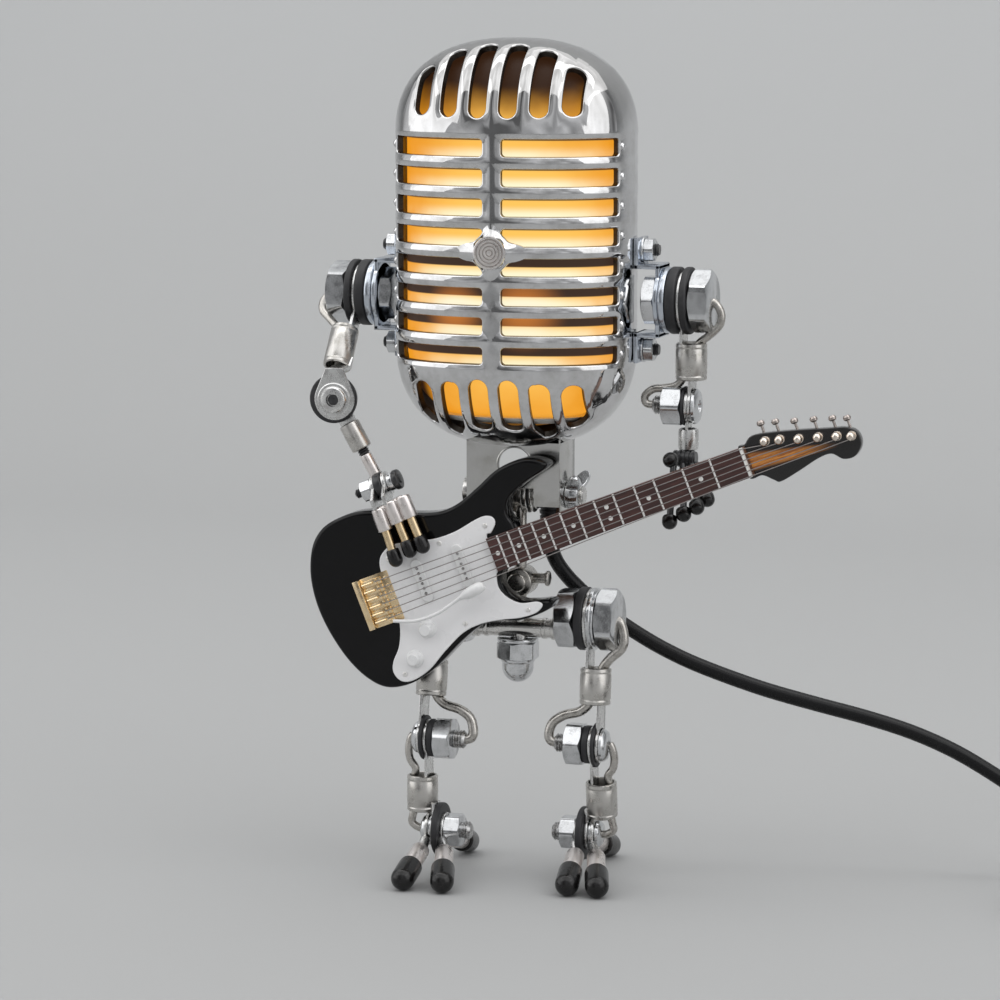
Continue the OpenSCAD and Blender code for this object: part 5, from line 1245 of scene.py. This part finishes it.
    # Each prong leaves its plate 9.5 mm from the ankle, on the line to its tip.
    start, reach, ball = 9.5, 28.0, TOE_R - ANKLE_Z
    toe_in, toe_out = TOES[name]
    for plate, tip_x, tip_y in ((inner, toe_in, -28), (outer, toe_out, -28), (inner, HEEL_X, 30)):
        x, tip = plate + 0.5, Vector((tip_x, tip_y, ball))
        root = Vector((x + (tip_x - x) * start / reach, math.copysign(start, tip_y),
                       ball * start / reach - 1.6))
        prongs.rod([(x, root.y * 0.5, root.z * 0.5), root, root + 0.5 * (tip - root)], 3.4, sides=14)
        collars.disc(0.2, (tip - root).length - 8.6, 6, 0.5, at=from_to(root, tip), steps=24)
        caps.lathe([(-8.5, 0), (-8.5, 3.6), (-8.2, 3.85), (-7.6, CAP_R)] + dome(0, CAP_R, 10),
                   at=from_to(tip, 2 * tip - root), steps=32)
    prongs.done("steel_bolt")
    collars.done("steel_bolt")
    # The caps stand flat on the floor.
    for v in caps.done("black_rubber").data.vertices:
        v.co.z = max(v.co.z, 0.0)


leg("right")
leg("left")

# %% [markdown]
# ## Shoulders and arms
# Two bent zinc sheets on each side of the head carry the shoulder bolts. Each sheet is a pair of
# rounded boxes that are mirrored with a scale of -1. The stack on the bolt is the same on both
# sides, so one function makes it, and each arm goes on from there in its own way.

# %% Shoulder brackets
SH_Y, SH_Z = 5.0, 189.0
bracket = Piece("shoulder_bracket_sheets", "head", ZINC, "shoulder_brackets")
screws = Piece("bracket_screws", "head", HEX, "bracket_fasteners")
screw_ends = Piece("bracket_screw_ends", "head", BLACK_METAL)
for side in sides.values():
    bracket.at = screws.at = screw_ends.at = shift(0, SH_Y, SH_Z) @ side
    for up in (1, -1):
        flip = Matrix.Scale(up, 4, (0, 0, 1))
        bracket.box(39.4, 40.9, -6.5, 6.5, 10.2, 20, 0.3, at=flip)
        bracket.box(39.4, 48.0, -6.5, 6.5, 10.2, 11.7, 0.3, at=flip)
        at = shift(0, 0, 16 * up)
        screws.hexagon(41.7, 44.9, 7, at=at).ring(40.95, 41.7, 8.4, 4.2, 0.2, at=at)
        screw_ends.threads(44.3, 46.4, 4, 0.7, at=at)
    bracket.box(46.5, 48.0, -6.5, 6.5, -11.6, 11.6, 0.3)
    bracket.ring(46.5, 48.0, 20, 10.1, 0.3)
bracket.done("zinc_plate")
screws.done("steel_bolt")
screw_ends.done("black_plastic")


def shoulder(name, at, top, ferrule_d, ferrule_h, width):
    """The stack on the shoulder's bolt, its rod and the upper arm's ferrule. The lugs are
    returned unfinished, because the elbow's are added to them."""
    def part(label, material, *nodes):
        return Piece(f"{name}_{label}", name + "_upper_arm", material,
                     *(f"{name}_{node}" for node in nodes), at=at)

    p = part("shoulder_hexagon", HEX, "shoulder_bolt")
    p.hexagon(57.4, 64.2, BIG, turned=30 if name == "left" else 0).disc(41.9, 58, 10, 0.3)
    p.hexagon(41.8, 46.4, 15).done("steel_bolt")
    p = part("shoulder_rod", ROD)
    p.rod([(63.2, 0, 0), (64.9, 0, -0.8), (66.7, 0, -3.8), (66.2, 0, -7.6), (62.8, 0, -11),
           (59.2, 0, -top - 0.6), (58.9, 0, -top - 4)], 2.6).done("steel_bolt")
    p = part("shoulder_rubbers", RUBBER, "shoulder_washers")
    p.ring(50.5, 53.8, 21.6, 10.1, 0.6).ring(55.0, 57.3, 21.6, 10.1, 0.6).done("black_rubber")
    part("shoulder_ring", ZINC).ring(48.1, 50.4, 21.2, 10.1, 0.7).done("zinc_plate")
    p = part("upper_arm_sleeve", FERRULE, "upper_arm_lug")
    ferrule(p, 57.0, top, ferrule_d, ferrule_h)
    p.done("stainless_lug")
    p = part("upper_arm_lugs", LUG)
    tongue(p, 53.9, 19, 10.1, width, top + TAIL)
    return p


# %% [markdown]
# The left arm hangs straight and its hand holds the guitar's neck. The fingers are wires from a
# ribbed grip to soft black tips, so each is a round bar between two points, and its tip is a
# spun section turned onto the same line.

# %% Left arm
ARM_TOP, ELBOW_Z = 13.4, 155.2
left_at, elbow_at = shift(0, SH_Y, SH_Z), shift(0, SH_Y, ELBOW_Z)
low = SH_Z - ELBOW_Z - ARM_TOP - FERRULE_H
lugs = shoulder("left", left_at, ARM_TOP, 10.2, FERRULE_H, 7.6)
lugs.at = elbow_at
tongue(lugs, 56.8, 11, 6.1, 8.0, low + TAIL, up=True)
lugs.done("stainless_lug")
p = Piece("left_elbow_hexagon", "left_upper_arm", HEX, "left_elbow_bolt", at=elbow_at)
p.hexagon(48.0, 54.7, 12).disc(54, 58, 6, 0.2)
p.lathe([(57.9, 0), (57.9, 5.6), (58.2, 5.8), (59.0, 5.6), (59.6, 4.9), (59.9, 3.6), (59.9, 2.0), (59.2, 1.8),
         (59.2, 0)]).done("steel_bolt")
p = Piece("left_elbow_thread", "left_upper_arm", THREAD, at=elbow_at)
p.threads(44.6, 48.1, 6, 0.9).done("steel_bolt")
p = Piece("left_elbow_rubber", "left_upper_arm", RUBBER, at=elbow_at)
p.ring(54.7, 55.6, 12.6, 5.9, 0.3).done("black_rubber")
p = Piece("left_elbow_rod", "left_upper_arm", ROD, at=elbow_at)
p.rod([(54.5, 0, low + 4), (54.3, 0, low + 0.6), (52, 0, low - 2), (48, 0, low - 2.9), (44.4, 0, 5),
       (41.8, 0, 2.8), (42.2, 0, 0.4), (45.2, 0, 0)], 2.6).done("steel_bolt")
p = Piece("left_forearm_lugs", "left_forearm", LUG, "left_forearm_lug", at=elbow_at)
tongue(p, 55.7, 11, 6.1, 5.4, 7.8)
ferrule(p, 56.2, 7.2, 6.6, 7.0, 0.9, ridge=False)
p.done("stainless_lug")
PALM = Vector((56.3, 2.6, 138.4))
hand = Piece("left_hand_frame", "left_forearm", BLACK_METAL, "left_hand")
hand.rod([(56.2, 5, ELBOW_Z - 9.2), (56.2, 4.2, 142.6), (56.2, 3.2, 138.4)], 3)
grip = Piece("left_hand_grip", "left_forearm", BLACK_METAL)
ribs = [(x + 1.45 * k, r) for k in range(5) for x, r in ((-4.1, 2.7), (-3.3, 2.7), (-3.1, 2.4), (-2.8, 2.4))]
grip.lathe([(-4.4, 0), (-4.4, 2.3)] + ribs + [(3.2, 2.3), (3.2, 0)], at=Matrix.Translation(PALM), steps=24)
tips = Piece("left_finger_covers", "left_forearm", CAP, "left_finger_tips")
# Each finger's root, from the palm, and its tip.
LEFT_FINGERS = [
    ((-3.9, -1.6, -1.4), (53.6, -8.4, 119.4)), ((-0.9, -1.6, -1.4), (58.2, -8.4, 122)),
    ((2.1, -1.6, -1.4), (62.4, -8, 124.4)), ((2.8, 0.6, -1.2), (64.6, -3.4, 126.4)),
    ((-2.4, -1.4, 0.6), (54, -9.4, 139.4))]
for offset, tip in LEFT_FINGERS:
    start, tip = PALM + Vector(offset), Vector(tip)
    hand.rod([start, tip - (tip - start).normalized() * 0.6], 2.2, sides=12)
    tips.lathe([(-1.9, 0), (-1.9, 2.1), (-1.5, 2.4), (-0.8, 2.5)] + dome(0, 2.5, 12),
               at=from_to(tip, tip + (tip - start)), steps=24)
hand.done("dark_steel")
grip.done("black_plastic")
tips.done("black_rubber")

# %% [markdown]
# The right forearm turns in towards the strings, so its pins don't lie along X. The frame of
# the forearm is worked out from the elbow and the wrist, and the hand's three fingers are spun
# sections between pairs of points.

# %% Right arm
R_ELBOW = Vector((-55.8, -20, 156.4))
R_WRIST = Vector((-40.2, -17.4, 128.6))
R_LEAN = lean(SH_Y - R_ELBOW.y, SH_Z - R_ELBOW.z)
right_at = shift(0, SH_Y, SH_Z) @ turn(-R_LEAN, "X") @ MIRROR
lugs = shoulder("right", right_at, 14.4, 9.2, 14.6, 6.6)
lugs.at = PLAIN
elbow_y = shift(R_ELBOW.x, 0, R_ELBOW.z) @ turn(90, "Z")
front_elbow = shift(1.0, 0, 0) @ elbow_y
eye = [(6.7 * math.cos(math.radians(a)), 6.7 * math.sin(math.radians(a))) for a in range(-205, 26, 10)]
eye_at = shift(R_ELBOW.x + 1.0, 0, R_ELBOW.z) @ STAND
lugs.slab(eye + [(3.4, 9.0), (2.9, 10.2), (-2.9, 10.2), (-3.4, 9.0)], 20.55, 21.75, 0.2, 2, at=eye_at)
strip = [(-10.9, 169.2), (-13.6, 166.8), (-20.7, 166.5), (-20.7, 165.3), (-12.6, 165.3), (-10, 168.4)]
lugs.slab(strip, -57.6, -52.0, 0.15, 2, at=SIDEWAYS)
lugs.done("stainless_lug")
p = Piece("right_elbow_button", "right_upper_arm", LUG, "right_elbow_bolt", at=front_elbow)
p.lathe([(-21.8, 0), (-21.8, 5.4), (-22.1, 5.5), (-22.3, 5.2), (-22.3, 4.5), (-22.9, 4.35), (-23.4, 3.9),
         (-23.6, 3.2), (-23.6, 2.1), (-22.6, 1.9), (-22.6, 0)])
p.disc(-21.8, -12.4, 6, 0.2).ring(-16.6, -12.9, 10.4, 5.8, 0.4).done("steel_bolt")
# Painted shade: a thin black hexagon at the bottom of the button's hollow stands for its dark socket.
p = Piece("right_elbow_socket_shade", "right_upper_arm", BLACK_METAL, at=front_elbow)
p.hexagon(-22.75, -22.55, 3.4).done("black_plastic")
p = Piece("right_elbow_rubber", "right_upper_arm", RUBBER, at=elbow_y)
p.ring(-20.5, -18.0, 15.8, 5.9, 0.6).done("black_rubber")
F_TURN = math.degrees(math.atan2(R_WRIST.x - R_ELBOW.x, R_ELBOW.z - R_WRIST.z))
F_LEN = math.hypot(R_WRIST.x - R_ELBOW.x, R_ELBOW.z - R_WRIST.z)


def forearm(y):
    """The forearm's own frame at y, hanging from the elbow."""
    return shift(R_ELBOW.x, y, R_ELBOW.z) @ turn(-F_TURN, "Y")


p = Piece("right_forearm_lugs", "right_forearm", LUG, "right_forearm_lug")
p.ring(-17.9, -16.7, 12.4, 6.1, 0.25, at=elbow_y)
p.box(-2.8, 2.8, 0, 1.2, -11.2, -5.4, 0.2, at=forearm(-17.9))
p.done("stainless_lug")
p = Piece("right_forearm_sleeve", "right_forearm", FERRULE, at=forearm(R_WRIST.y))
ferrule(p, 0, 9.2, 6.8, 9.4, 1.2, ridge=False)
p.done("stainless_lug")
wrist_at = Matrix.Translation(R_WRIST) @ turn(-21.6, "Y")
p = Piece("right_wrist_stud_black", "right_forearm", BLACK_METAL, "right_wrist_stud", at=forearm(R_WRIST.y))
p.threads(-20.8, -14.8, 3.8, 0.8, at=upright(0, 0, 0))
p.at = wrist_at
p.ring(-1.3, 1.3, 9, 3.1, 0.4).done("black_plastic")
p = Piece("right_wrist_rod", "right_forearm", SLEEVE, at=forearm(R_WRIST.y))
p.disc(-F_LEN + 3.9, -20.6, 4.0, 0.4, at=upright(0, 0, 0)).done("steel_bolt")
p = Piece("right_hand_plates", "right_hand_unit", LUG, "right_hand", at=wrist_at)
for x in (-2.7, 1.4):
    p.ring(x, x + 1.3, 8, 2.9, 0.25)
    p.slab([(0, -3.9), (-3.9, 0), (-8.6, -3.4), (-8.6, -6.4), (-3, -6.4)], x, x + 1.3, 0.2, 2,
           at=SIDEWAYS)
p.done("steel_bolt")
p = Piece("right_hand_bolt", "right_hand_unit", HEX, at=wrist_at)
p.hexagon(-6.6, -2.8, 6.6).disc(2.8, 4.8, 6, 0.3).done("steel_bolt")
p = Piece("right_hand_bolt_ends", "right_hand_unit", BLACK_METAL, at=wrist_at)
p.threads(-9.4, -6.5, 3, 0.6).disc(4.8, 6.8, 6.6, 0.5).disc(-3, 7.2, 3, 0.2).done("black_plastic")
# The top and the tip of each finger.
SLEEVES = [((-39.0, -23.6, 121.0), (-33.4, -23.6, 105.4)), ((-35.0, -23.6, 123.6), (-28.6, -23.6, 108.6)),
           ((-30.9, -23.6, 125.5), (-24.2, -23.6, 110.2))]
sleeves = Piece("right_hand_sleeves", "right_hand_unit", SLEEVE)
pins = Piece("right_brass_pins", "right_hand_unit", BRASS, "right_finger_pins")
covers = Piece("right_finger_covers", "right_hand_unit", CAP, "right_finger_tips")
first, last = SLEEVES[0][0], SLEEVES[2][0]
sleeves.disc(0, (Vector(last) - Vector(first)).length, 2.6, 0.2, at=from_to(first, last))
for top, tip in SLEEVES:
    at = from_to(top, tip)
    span = (Vector(tip) - Vector(top)).length
    sleeves.lathe([(-0.8, 0), (-0.8, 2.1), (-0.5, 2.4), (0, 2.5), (6.3, 2.5), (6.6, 2.35), (6.7, 1.8),
                   (5.8, 1.6), (5.8, 0)], at=at, steps=32)
    pins.lathe([(2.1, 0), (2.1, 1.45), (span - 2.1, 1.45), (span - 2.1, 0)], at=at, steps=24)
    covers.lathe([(span - 3.6, 0), (span - 3.6, 1.8), (span - 3.2, 2.1), (span - 1.6, 2.3), (span, 2.35)]
                 + dome(span, 2.35, 12, first=12), at=at, steps=24)
sleeves.done("steel_bolt")
pins.done("brass")
covers.done("black_rubber")

# %% [markdown]
# ## Guitar
# The outlines are smooth curves through a few points, in millimetres along the neck (s) and
# across it (t), from the bridge. The body, guard and headstock are slabs with rolled rims. Real
# ones are routed from a board and rounded over, and the slab does the same: a flat outline, and
# a few loops that draw in towards both faces. One matrix stands the guitar up and tilts it.

# %% Guitar frame and outlines
# The guitar's frame: s along the neck, t across it and the third axis towards the front.
GX, GZ = -41.5, 92.2
guitar = Matrix(((math.cos(TILT), -math.sin(TILT), 0, GX), (0, 0, -1, 0),
                 (math.sin(TILT), math.cos(TILT), 0, GZ), (0, 0, 0, 1)))
BODY_BACK, BODY_FRONT, GUARD_T, NECK_T, HEAD_T = 11.0, 20.0, 0.8, 4.6, 3.6
GUARD_FRONT = BODY_FRONT + GUARD_T
NUT_S, BOARD_S, NUT_HALF, BOARD_HALF = 132.0, 43.6, 4.9, 5.6
BOARD_Z0, BOARD_Z1 = 20.9, 22.3
HEAD_BACK = BOARD_Z0 - NECK_T
HEAD_FACE = HEAD_BACK + HEAD_T
STRING_Z, STRING_D = 23.05, 0.31
BODY_LINE = [
    (-5.5, 28), (3.5, 28.2), (13, 25.4), (22, 21.4), (30, 19), (37, 19.2), (45, 21.8),
    (54, 25.2), (63, 25.6), (69, 22.9), (69.6, 20.2), (61, 18.1), (54.4, 15.4), (51.8, 11),
    (52.6, 6.4), (52, 0), (45.4, -4.6), (42, -8), (41.8, -12), (45, -16.4), (50, -18.4),
    (55.6, -20), (54.6, -22.2), (50, -23), (43, -22.8), (36, -20.6), (30, -20.2),
    (22, -22.8), (12, -27.4), (5, -29.6), (-1.6, -30.2), (-8, -28.6), (-13, -23.8),
    (-17, -16), (-19.6, -6), (-20.4, 4), (-19, 13.6), (-15.4, 21.6), (-11, 26)]
GUARD_LINE = [
    (47.4, 9.2), (47.2, 11.4), (44.8, 12.6), (41, 12.4), (34, 11.2), (27, 11.2),
    (20, 12.6), (13, 14.1), (9, 13.4), (6, 10.8), (5, 6), (5, -4), (4.6, -11),
    (1.8, -17.4), (-2, -21.6), (-3.2, -25), (-1.6, -28.4), (2.4, -29.4), (9, -27.8),
    (16, -24), (24, -20.4), (31, -19.6), (38, -20.6), (44, -22), (49.6, -22.2),
    (52.6, -20.6), (51.2, -18.9), (46, -17.6), (42.4, -14.4), (40.8, -10.6),
    (41.6, -6.6), (42.6, -4.4), (43.2, 6), (45, 6.8)]
HEAD_LINE = [
    (131, 4.8), (133.4, 5.4), (136.4, 7.2), (142, 6.4), (152, 3.8), (160, 1.4),
    (166, -0.4), (168.8, -3), (168.6, -7), (165.4, -9.8), (161.6, -9.4), (158.6, -6.6),
    (154, -6.6), (147, -8.2), (140.4, -9.4), (138.4, -8.2), (135.4, -5.6), (131, -4.8)]


def outline(points):
    return smooth_path([(s, t, 0) for s, t in points], 6, loop=True)


def board(start, end):
    """The tapering outline that the neck and the fretboard share."""
    return [(start, -BOARD_HALF), (end, -NUT_HALF), (end, NUT_HALF), (start, BOARD_HALF)]


def on_guitar(name, material, *nodes):
    """A piece of the guitar, which rides on the torso."""
    return Piece(name, "torso", material, *nodes, at=guitar)


# %% Guitar body, guard, neck
g = on_guitar("guitar_body_black", LACQUER, "guitar_body")
g.slab(outline(BODY_LINE), BODY_BACK, BODY_FRONT, edge=1.4, segments=5).done("guitar_black")
g = on_guitar("guitar_guard_white", GUARD, "guitar_pickguard")
g.slab(outline(GUARD_LINE), BODY_FRONT, GUARD_FRONT).done("guard_white")
g = on_guitar("guitar_guard_screws", FRET)
for s, t in ((44, 9.6), (27.4, 9.4), (47.6, -20.4), (26, -17.8), (0.4, -26.6), (9, 10.4)):
    g.disc(0, 0.4, 1.6, 0.25, at=upright(s, t, GUARD_FRONT - 0.1), steps=16)
g.done("steel_bolt")
g = on_guitar("guitar_neck_wood", NECK, "guitar_neck")
g.slab(board(BOARD_S, NUT_S + 1.4), HEAD_BACK, BOARD_Z0, edge=0.5).done("guitar_maple")
g = on_guitar("guitar_headstock", FLAME)
g.slab(outline(HEAD_LINE), HEAD_BACK, HEAD_FACE, edge=0.4).done("guitar_maple")
g = on_guitar("guitar_board_wood", ROSEWOOD, "guitar_fretboard")
g.slab(board(BOARD_S - 0.5, NUT_S), BOARD_Z0, BOARD_Z1, edge=0.25).done("guitar_rosewood")

# %% [markdown]
# Frets crowd together towards the body by a fixed ratio, so their places come from a formula
# and not from a list. A fret is a thin round bar that is half sunk into the board. A dot is a
# flat disc, proud by a hair, so that it doesn't flicker against the wood.

# %% Frets, nut and dots
# The spacing shrinks by this ratio from each fret to the next, up to a last narrow stretch.
RATIO, FRETS, LAST_GAP = 0.92, 13, 3.7


def fret_s(i):
    """The fret's place; the third is set wide on this toy board."""
    wide = -1.4 if i == 3 else -0.25 if i > 3 else 0
    part = (1 - RATIO ** i) / (1 - RATIO ** FRETS)
    return wide + NUT_S - (NUT_S - BOARD_S - LAST_GAP) * part


def board_width(s):
    return 2 * (BOARD_HALF + (NUT_HALF - BOARD_HALF) * (s - BOARD_S) / (NUT_S - BOARD_S))


g = on_guitar("guitar_frets", FRET)
for i in range(1, FRETS + 1):
    s = fret_s(i)
    half = board_width(s) / 2 - 0.15
    g.rod([(s, -half, BOARD_Z1 + 0.05), (s, half, BOARD_Z1 + 0.05)], 0.7, sides=10)
g.done("steel_bolt")
g = on_guitar("guitar_nut_and_dots", DOT)
g.box(NUT_S, NUT_S + 0.9, -NUT_HALF, NUT_HALF, BOARD_Z0, BOARD_Z1 + 0.35, 0.2)
for i in range(1, FRETS + 1, 2):
    s = (fret_s(i) + (fret_s(i + 1) if i < FRETS else BOARD_S)) / 2
    for t in ((-1.9, 1.9) if i == 5 else (0.0,)):
        g.disc(0, 0.12, 1.5, 0.05, at=upright(s, t, BOARD_Z1 - 0.04), steps=20)
g.done("guard_white")

# %% [markdown]
# The small parts on the guitar's face are rounded boxes, discs and spun knobs. They could be
# painted on, but they throw small shadows in the side light, and that is what makes the toy
# look real.

# %% Pickups, knobs, bridge and tremolo arm
g = on_guitar("guitar_pickups_and_knobs", KNOB, "guitar_controls")
poles = on_guitar("guitar_pole_pieces", THREAD)
PILL_R, PILL_HALF = 1.9, 5.4
for s in (17.4, 32.2):
    pill = [(s + PILL_R * math.cos(a), math.copysign(PILL_HALF, math.sin(a)) + PILL_R * math.sin(a))
            for a in angles(32, 0.5)]
    g.slab(pill, GUARD_FRONT, GUARD_FRONT + 0.9)
    for k in range(6):
        poles.disc(0, 0.3, 1.0, 0.1, at=upright(s, (k - 2.5) * 1.7, GUARD_FRONT + 0.8), steps=14)
for s, t in ((13.2, -15.3), (5.6, -23)):
    g.lathe([(0, 0), (0, 2.95), (0.5, 2.95), (1.0, 2.5), (1.2, 2.2), (2.9, 2.0), (3.2, 1.7), (3.2, 0)],
            at=upright(s, t, GUARD_FRONT), steps=32)
g.done("guard_white")
poles.done("steel_bolt")
g = on_guitar("guitar_bridge_gold", GOLD, "guitar_bridge")
g.box(-4.8, 7.2, -9.6, 7.2, BODY_FRONT, BODY_FRONT + 1, 0.2)
g.box(-4.8, -2.6, -9.6, 7.2, BODY_FRONT + 1, BODY_FRONT + 3.4, 0.25)


def string_t(k, s):
    """The place of string k across the neck, at s."""
    return (k - 2.5) * (2.55 - 0.75 * s / NUT_S) - 1.4 * (1 - s / NUT_S)


for k in range(6):
    t = string_t(k, 0)
    g.box(-2.4, 4.4, t - 1.1, t + 1.1, BODY_FRONT + 1, BODY_FRONT + 1.9, 0.2)
    g.rod([(-2.4, t, BODY_FRONT + 2.3), (1.6, t, BODY_FRONT + 2.3)], 0.9, sides=10)
    g.disc(0, 0.5, 1.3, 0.2, at=upright(5.9, t, BODY_FRONT + 0.9), steps=14)
    for q in (-0.7, 0.7):
        g.disc(0, 1.2, 0.7, 0.1, at=upright(2.9, t + q, BODY_FRONT + 1.6), steps=10)
g.disc(0, 1.6, 1.6, 0.2, at=upright(3, -8.8, BODY_FRONT + 1), steps=16)
g.done("gold_plate")
TREMOLO = [(3, -8.8, 1.6), (5.4, -9.6, 2.6), (12, -11.4, 4), (20, -11.4, 4.6), (29, -9.2, 4.8),
           (34.6, -8.4, 4.8)]
g = on_guitar("guitar_tremolo_arm", KNOB)
g.rod([(s, t, BODY_FRONT + h) for s, t, h in TREMOLO], 1.2, sides=12)
tip = from_to((28.6, -9.3, 24.8), (38, -8, 24.8))
g.lathe([(0, 0), (0, 0.75), (1.2, 1.0), (2.4, 1.6), (4.0, 1.9), (7.0, 1.9), (8.6, 1.6), (9.3, 1.0), (9.5, 0)],
        at=tip, steps=24)
g.done("guard_white")

# %% [markdown]
# Each string is a thin bar with a bend at the nut, from its saddle to its post. A straight line
# is enough, because a tight string doesn't sag.

# %% Strings and tuners
POST_S = [140.3, 144.9, 150.7, 156.7, 162.4, 166.8]
POST_T = [4.2, 3.1, 1.3, -0.3, -2.0, -3.5]
g = on_guitar("guitar_string_set", STRING, "guitar_strings")
for k in range(6):
    i = 5 - k
    g.rod([(2.4, string_t(k, 3.2), BODY_FRONT + 2.6),
           (NUT_S + 0.6, string_t(k, NUT_S + 0.6), STRING_Z - 0.2),
           (POST_S[i] - 1.2, POST_T[i] - 0.8, STRING_Z - 1.2)], STRING_D, sides=8, blend=False)
g.done("steel_bolt")
g = on_guitar("guitar_tuner_set", TUNER, "guitar_tuners")
pegs = on_guitar("guitar_tuner_keys", PEG)
for s, t in zip(POST_S, POST_T):
    at = upright(s, t, HEAD_FACE)
    g.ring(0, 0.35, 3.0, 2.0, 0.1, at=at, steps=24)
    g.disc(0, 1.8, 2.1, 0.2, at=at, steps=24)
    g.ball(2.8, at=shift(s, t, HEAD_FACE + 2.2))
    peg = shift(s + 0.1, t + 2.4, HEAD_FACE - 1.8) @ turn(90, "Z")
    pegs.disc(-1.2, 3.2, 0.9, 0.1, at=peg, steps=12)
    pegs.lathe([(2.3, 0), (2.4, 0.8), (2.8, 1.25), (3.5, 1.3), (4.1, 0.9), (4.2, 0)], at=peg, steps=16)
g.done("steel_bolt")
pegs.done("steel_bolt")

# %% [markdown]
# The bulb, its holder, the switch and the guitar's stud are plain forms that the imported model
# already has. Building them again would add nothing, so they only get their finish.

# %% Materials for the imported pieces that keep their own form
KEPT = {"lamp_holder": CERAMIC, "bulb": BULB, "switch_housing": PLASTIC, "switch_rocker": ROCKER,
        "guitar_stud": ROD.copy()}
for name, material in KEPT.items():
    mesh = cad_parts[name].data
    mesh.materials.clear()
    mesh.materials.append(material)
    print(name, "keeps its form")

# %% [markdown]
# ## Studio
# A pale grey paper sweep curves from the floor up into the backdrop, so that no line shows where
# they meet. Two planes would show one.

# %% Floor and backdrop
bm = bmesh.new()
NEAR_Y, FLOOR_Y, CURVE, WALL_H, HALF_W = -2.6, 0.75, 0.5, 2.6, 3.2
# The paper lies this far under the feet, so that the two faces never fight.
CLEAR = 0.0002
profile = [(NEAR_Y, 0.0), (FLOOR_Y, 0.0)]
profile += [(FLOOR_Y + CURVE * math.sin(math.radians(a)), CURVE * (1 - math.cos(math.radians(a))))
            for a in range(6, 91, 6)]
profile += [(FLOOR_Y + CURVE, WALL_H)]
lines = [[bm.verts.new((x, y, z - CLEAR)) for y, z in profile] for x in (-HALF_W, HALF_W)]
for k in range(len(profile) - 1):
    bm.faces.new((lines[0][k], lines[1][k], lines[1][k + 1], lines[0][k + 1]))
for face in bm.faces:
    face.smooth = True
floor_mesh = bpy.data.meshes.new("studio_sweep")
bm.to_mesh(floor_mesh)
bm.free()
floor = bpy.data.objects.new("studio_sweep", floor_mesh)
bpy.context.scene.collection.objects.link(floor)
paper = Surface("studio_paper", (0.42, 0.425, 0.428), 0.75)
mottle = paper.noise(1.6, 2.0)
sheet = mottle.smooth(0.3, 0.7).mix((0.408, 0.415, 0.418), (0.440, 0.447, 0.450))
# Painted shade: the floor is darker than the backdrop, and the shade fades out up the curve.
floor_shade_fade = paper.axes()[2].smooth(0.0, 420.0)
paper.set("Base Color", floor_shade_fade.mix((0.372, 0.375, 0.374), sheet))
floor_mesh.materials.append(paper.material)
print("sweep:", len(floor_mesh.polygons), "faces")

# %% [markdown]
# A soft light at each side, a big one overhead and a wash on the backdrop light the lamp. Large
# lights give soft shadows, and chrome shows them as broad bright shapes. The air around has
# soft light and dark patches from a noise, because chrome in an even room looks flat and grey.

# %% Lights


def area_light(name, at, to, width, height, watts):
    data = bpy.data.lights.new(name, "AREA")
    data.shape = "RECTANGLE"
    data.size, data.size_y = width, height
    data.energy = watts
    lamp = bpy.data.objects.new(name, data)
    bpy.context.scene.collection.objects.link(lamp)
    lamp.location = at
    lamp.rotation_euler = (Vector(at) - Vector(to)).to_track_quat("Z", "Y").to_euler()


MIDDLE = (0, 0, 0.14)
area_light("soft_left", (-1.6, -0.7, 0.8), MIDDLE, 1.6, 1.6, 8)
area_light("soft_right", (1.6, -0.5, 0.75), MIDDLE, 1.4, 1.6, 7)
area_light("soft_top", (0.0, -0.1, 1.8), MIDDLE, 4.2, 3.4, 42)
area_light("backdrop_wash", (0.0, 0.1, 1.7), (0, 1.2, 0.4), 2.4, 0.6, 8)
world = bpy.data.worlds.new("studio_air")
bpy.context.scene.world = world
world.use_nodes = True
tree = world.node_tree
way = tree.nodes.new("ShaderNodeTexCoord")
stretch = tree.nodes.new("ShaderNodeMapping")
stretch.inputs["Scale"].default_value = (1.0, 1.0, 0.35)
room = tree.nodes.new("ShaderNodeTexNoise")
room.inputs["Scale"].default_value = 2.3
room.inputs["Detail"].default_value = 2.0
tone = tree.nodes.new("ShaderNodeMapRange")
for key, value in (("From Min", 0.36), ("From Max", 0.64), ("To Min", 0.14), ("To Max", 0.80)):
    tone.inputs[key].default_value = value
tree.links.new(way.outputs["Generated"], stretch.inputs["Vector"])
tree.links.new(stretch.outputs["Vector"], room.inputs["Vector"])
tree.links.new(room.outputs[0], tone.inputs["Value"])
tree.links.new(tone.outputs[0], tree.nodes["Background"].inputs["Strength"])
tree.nodes["Background"].inputs["Color"].default_value = (0.97, 0.98, 1.0, 1)
bpy.context.scene.view_settings.view_transform = "Standard"
print("lights:", len(bpy.data.lights))
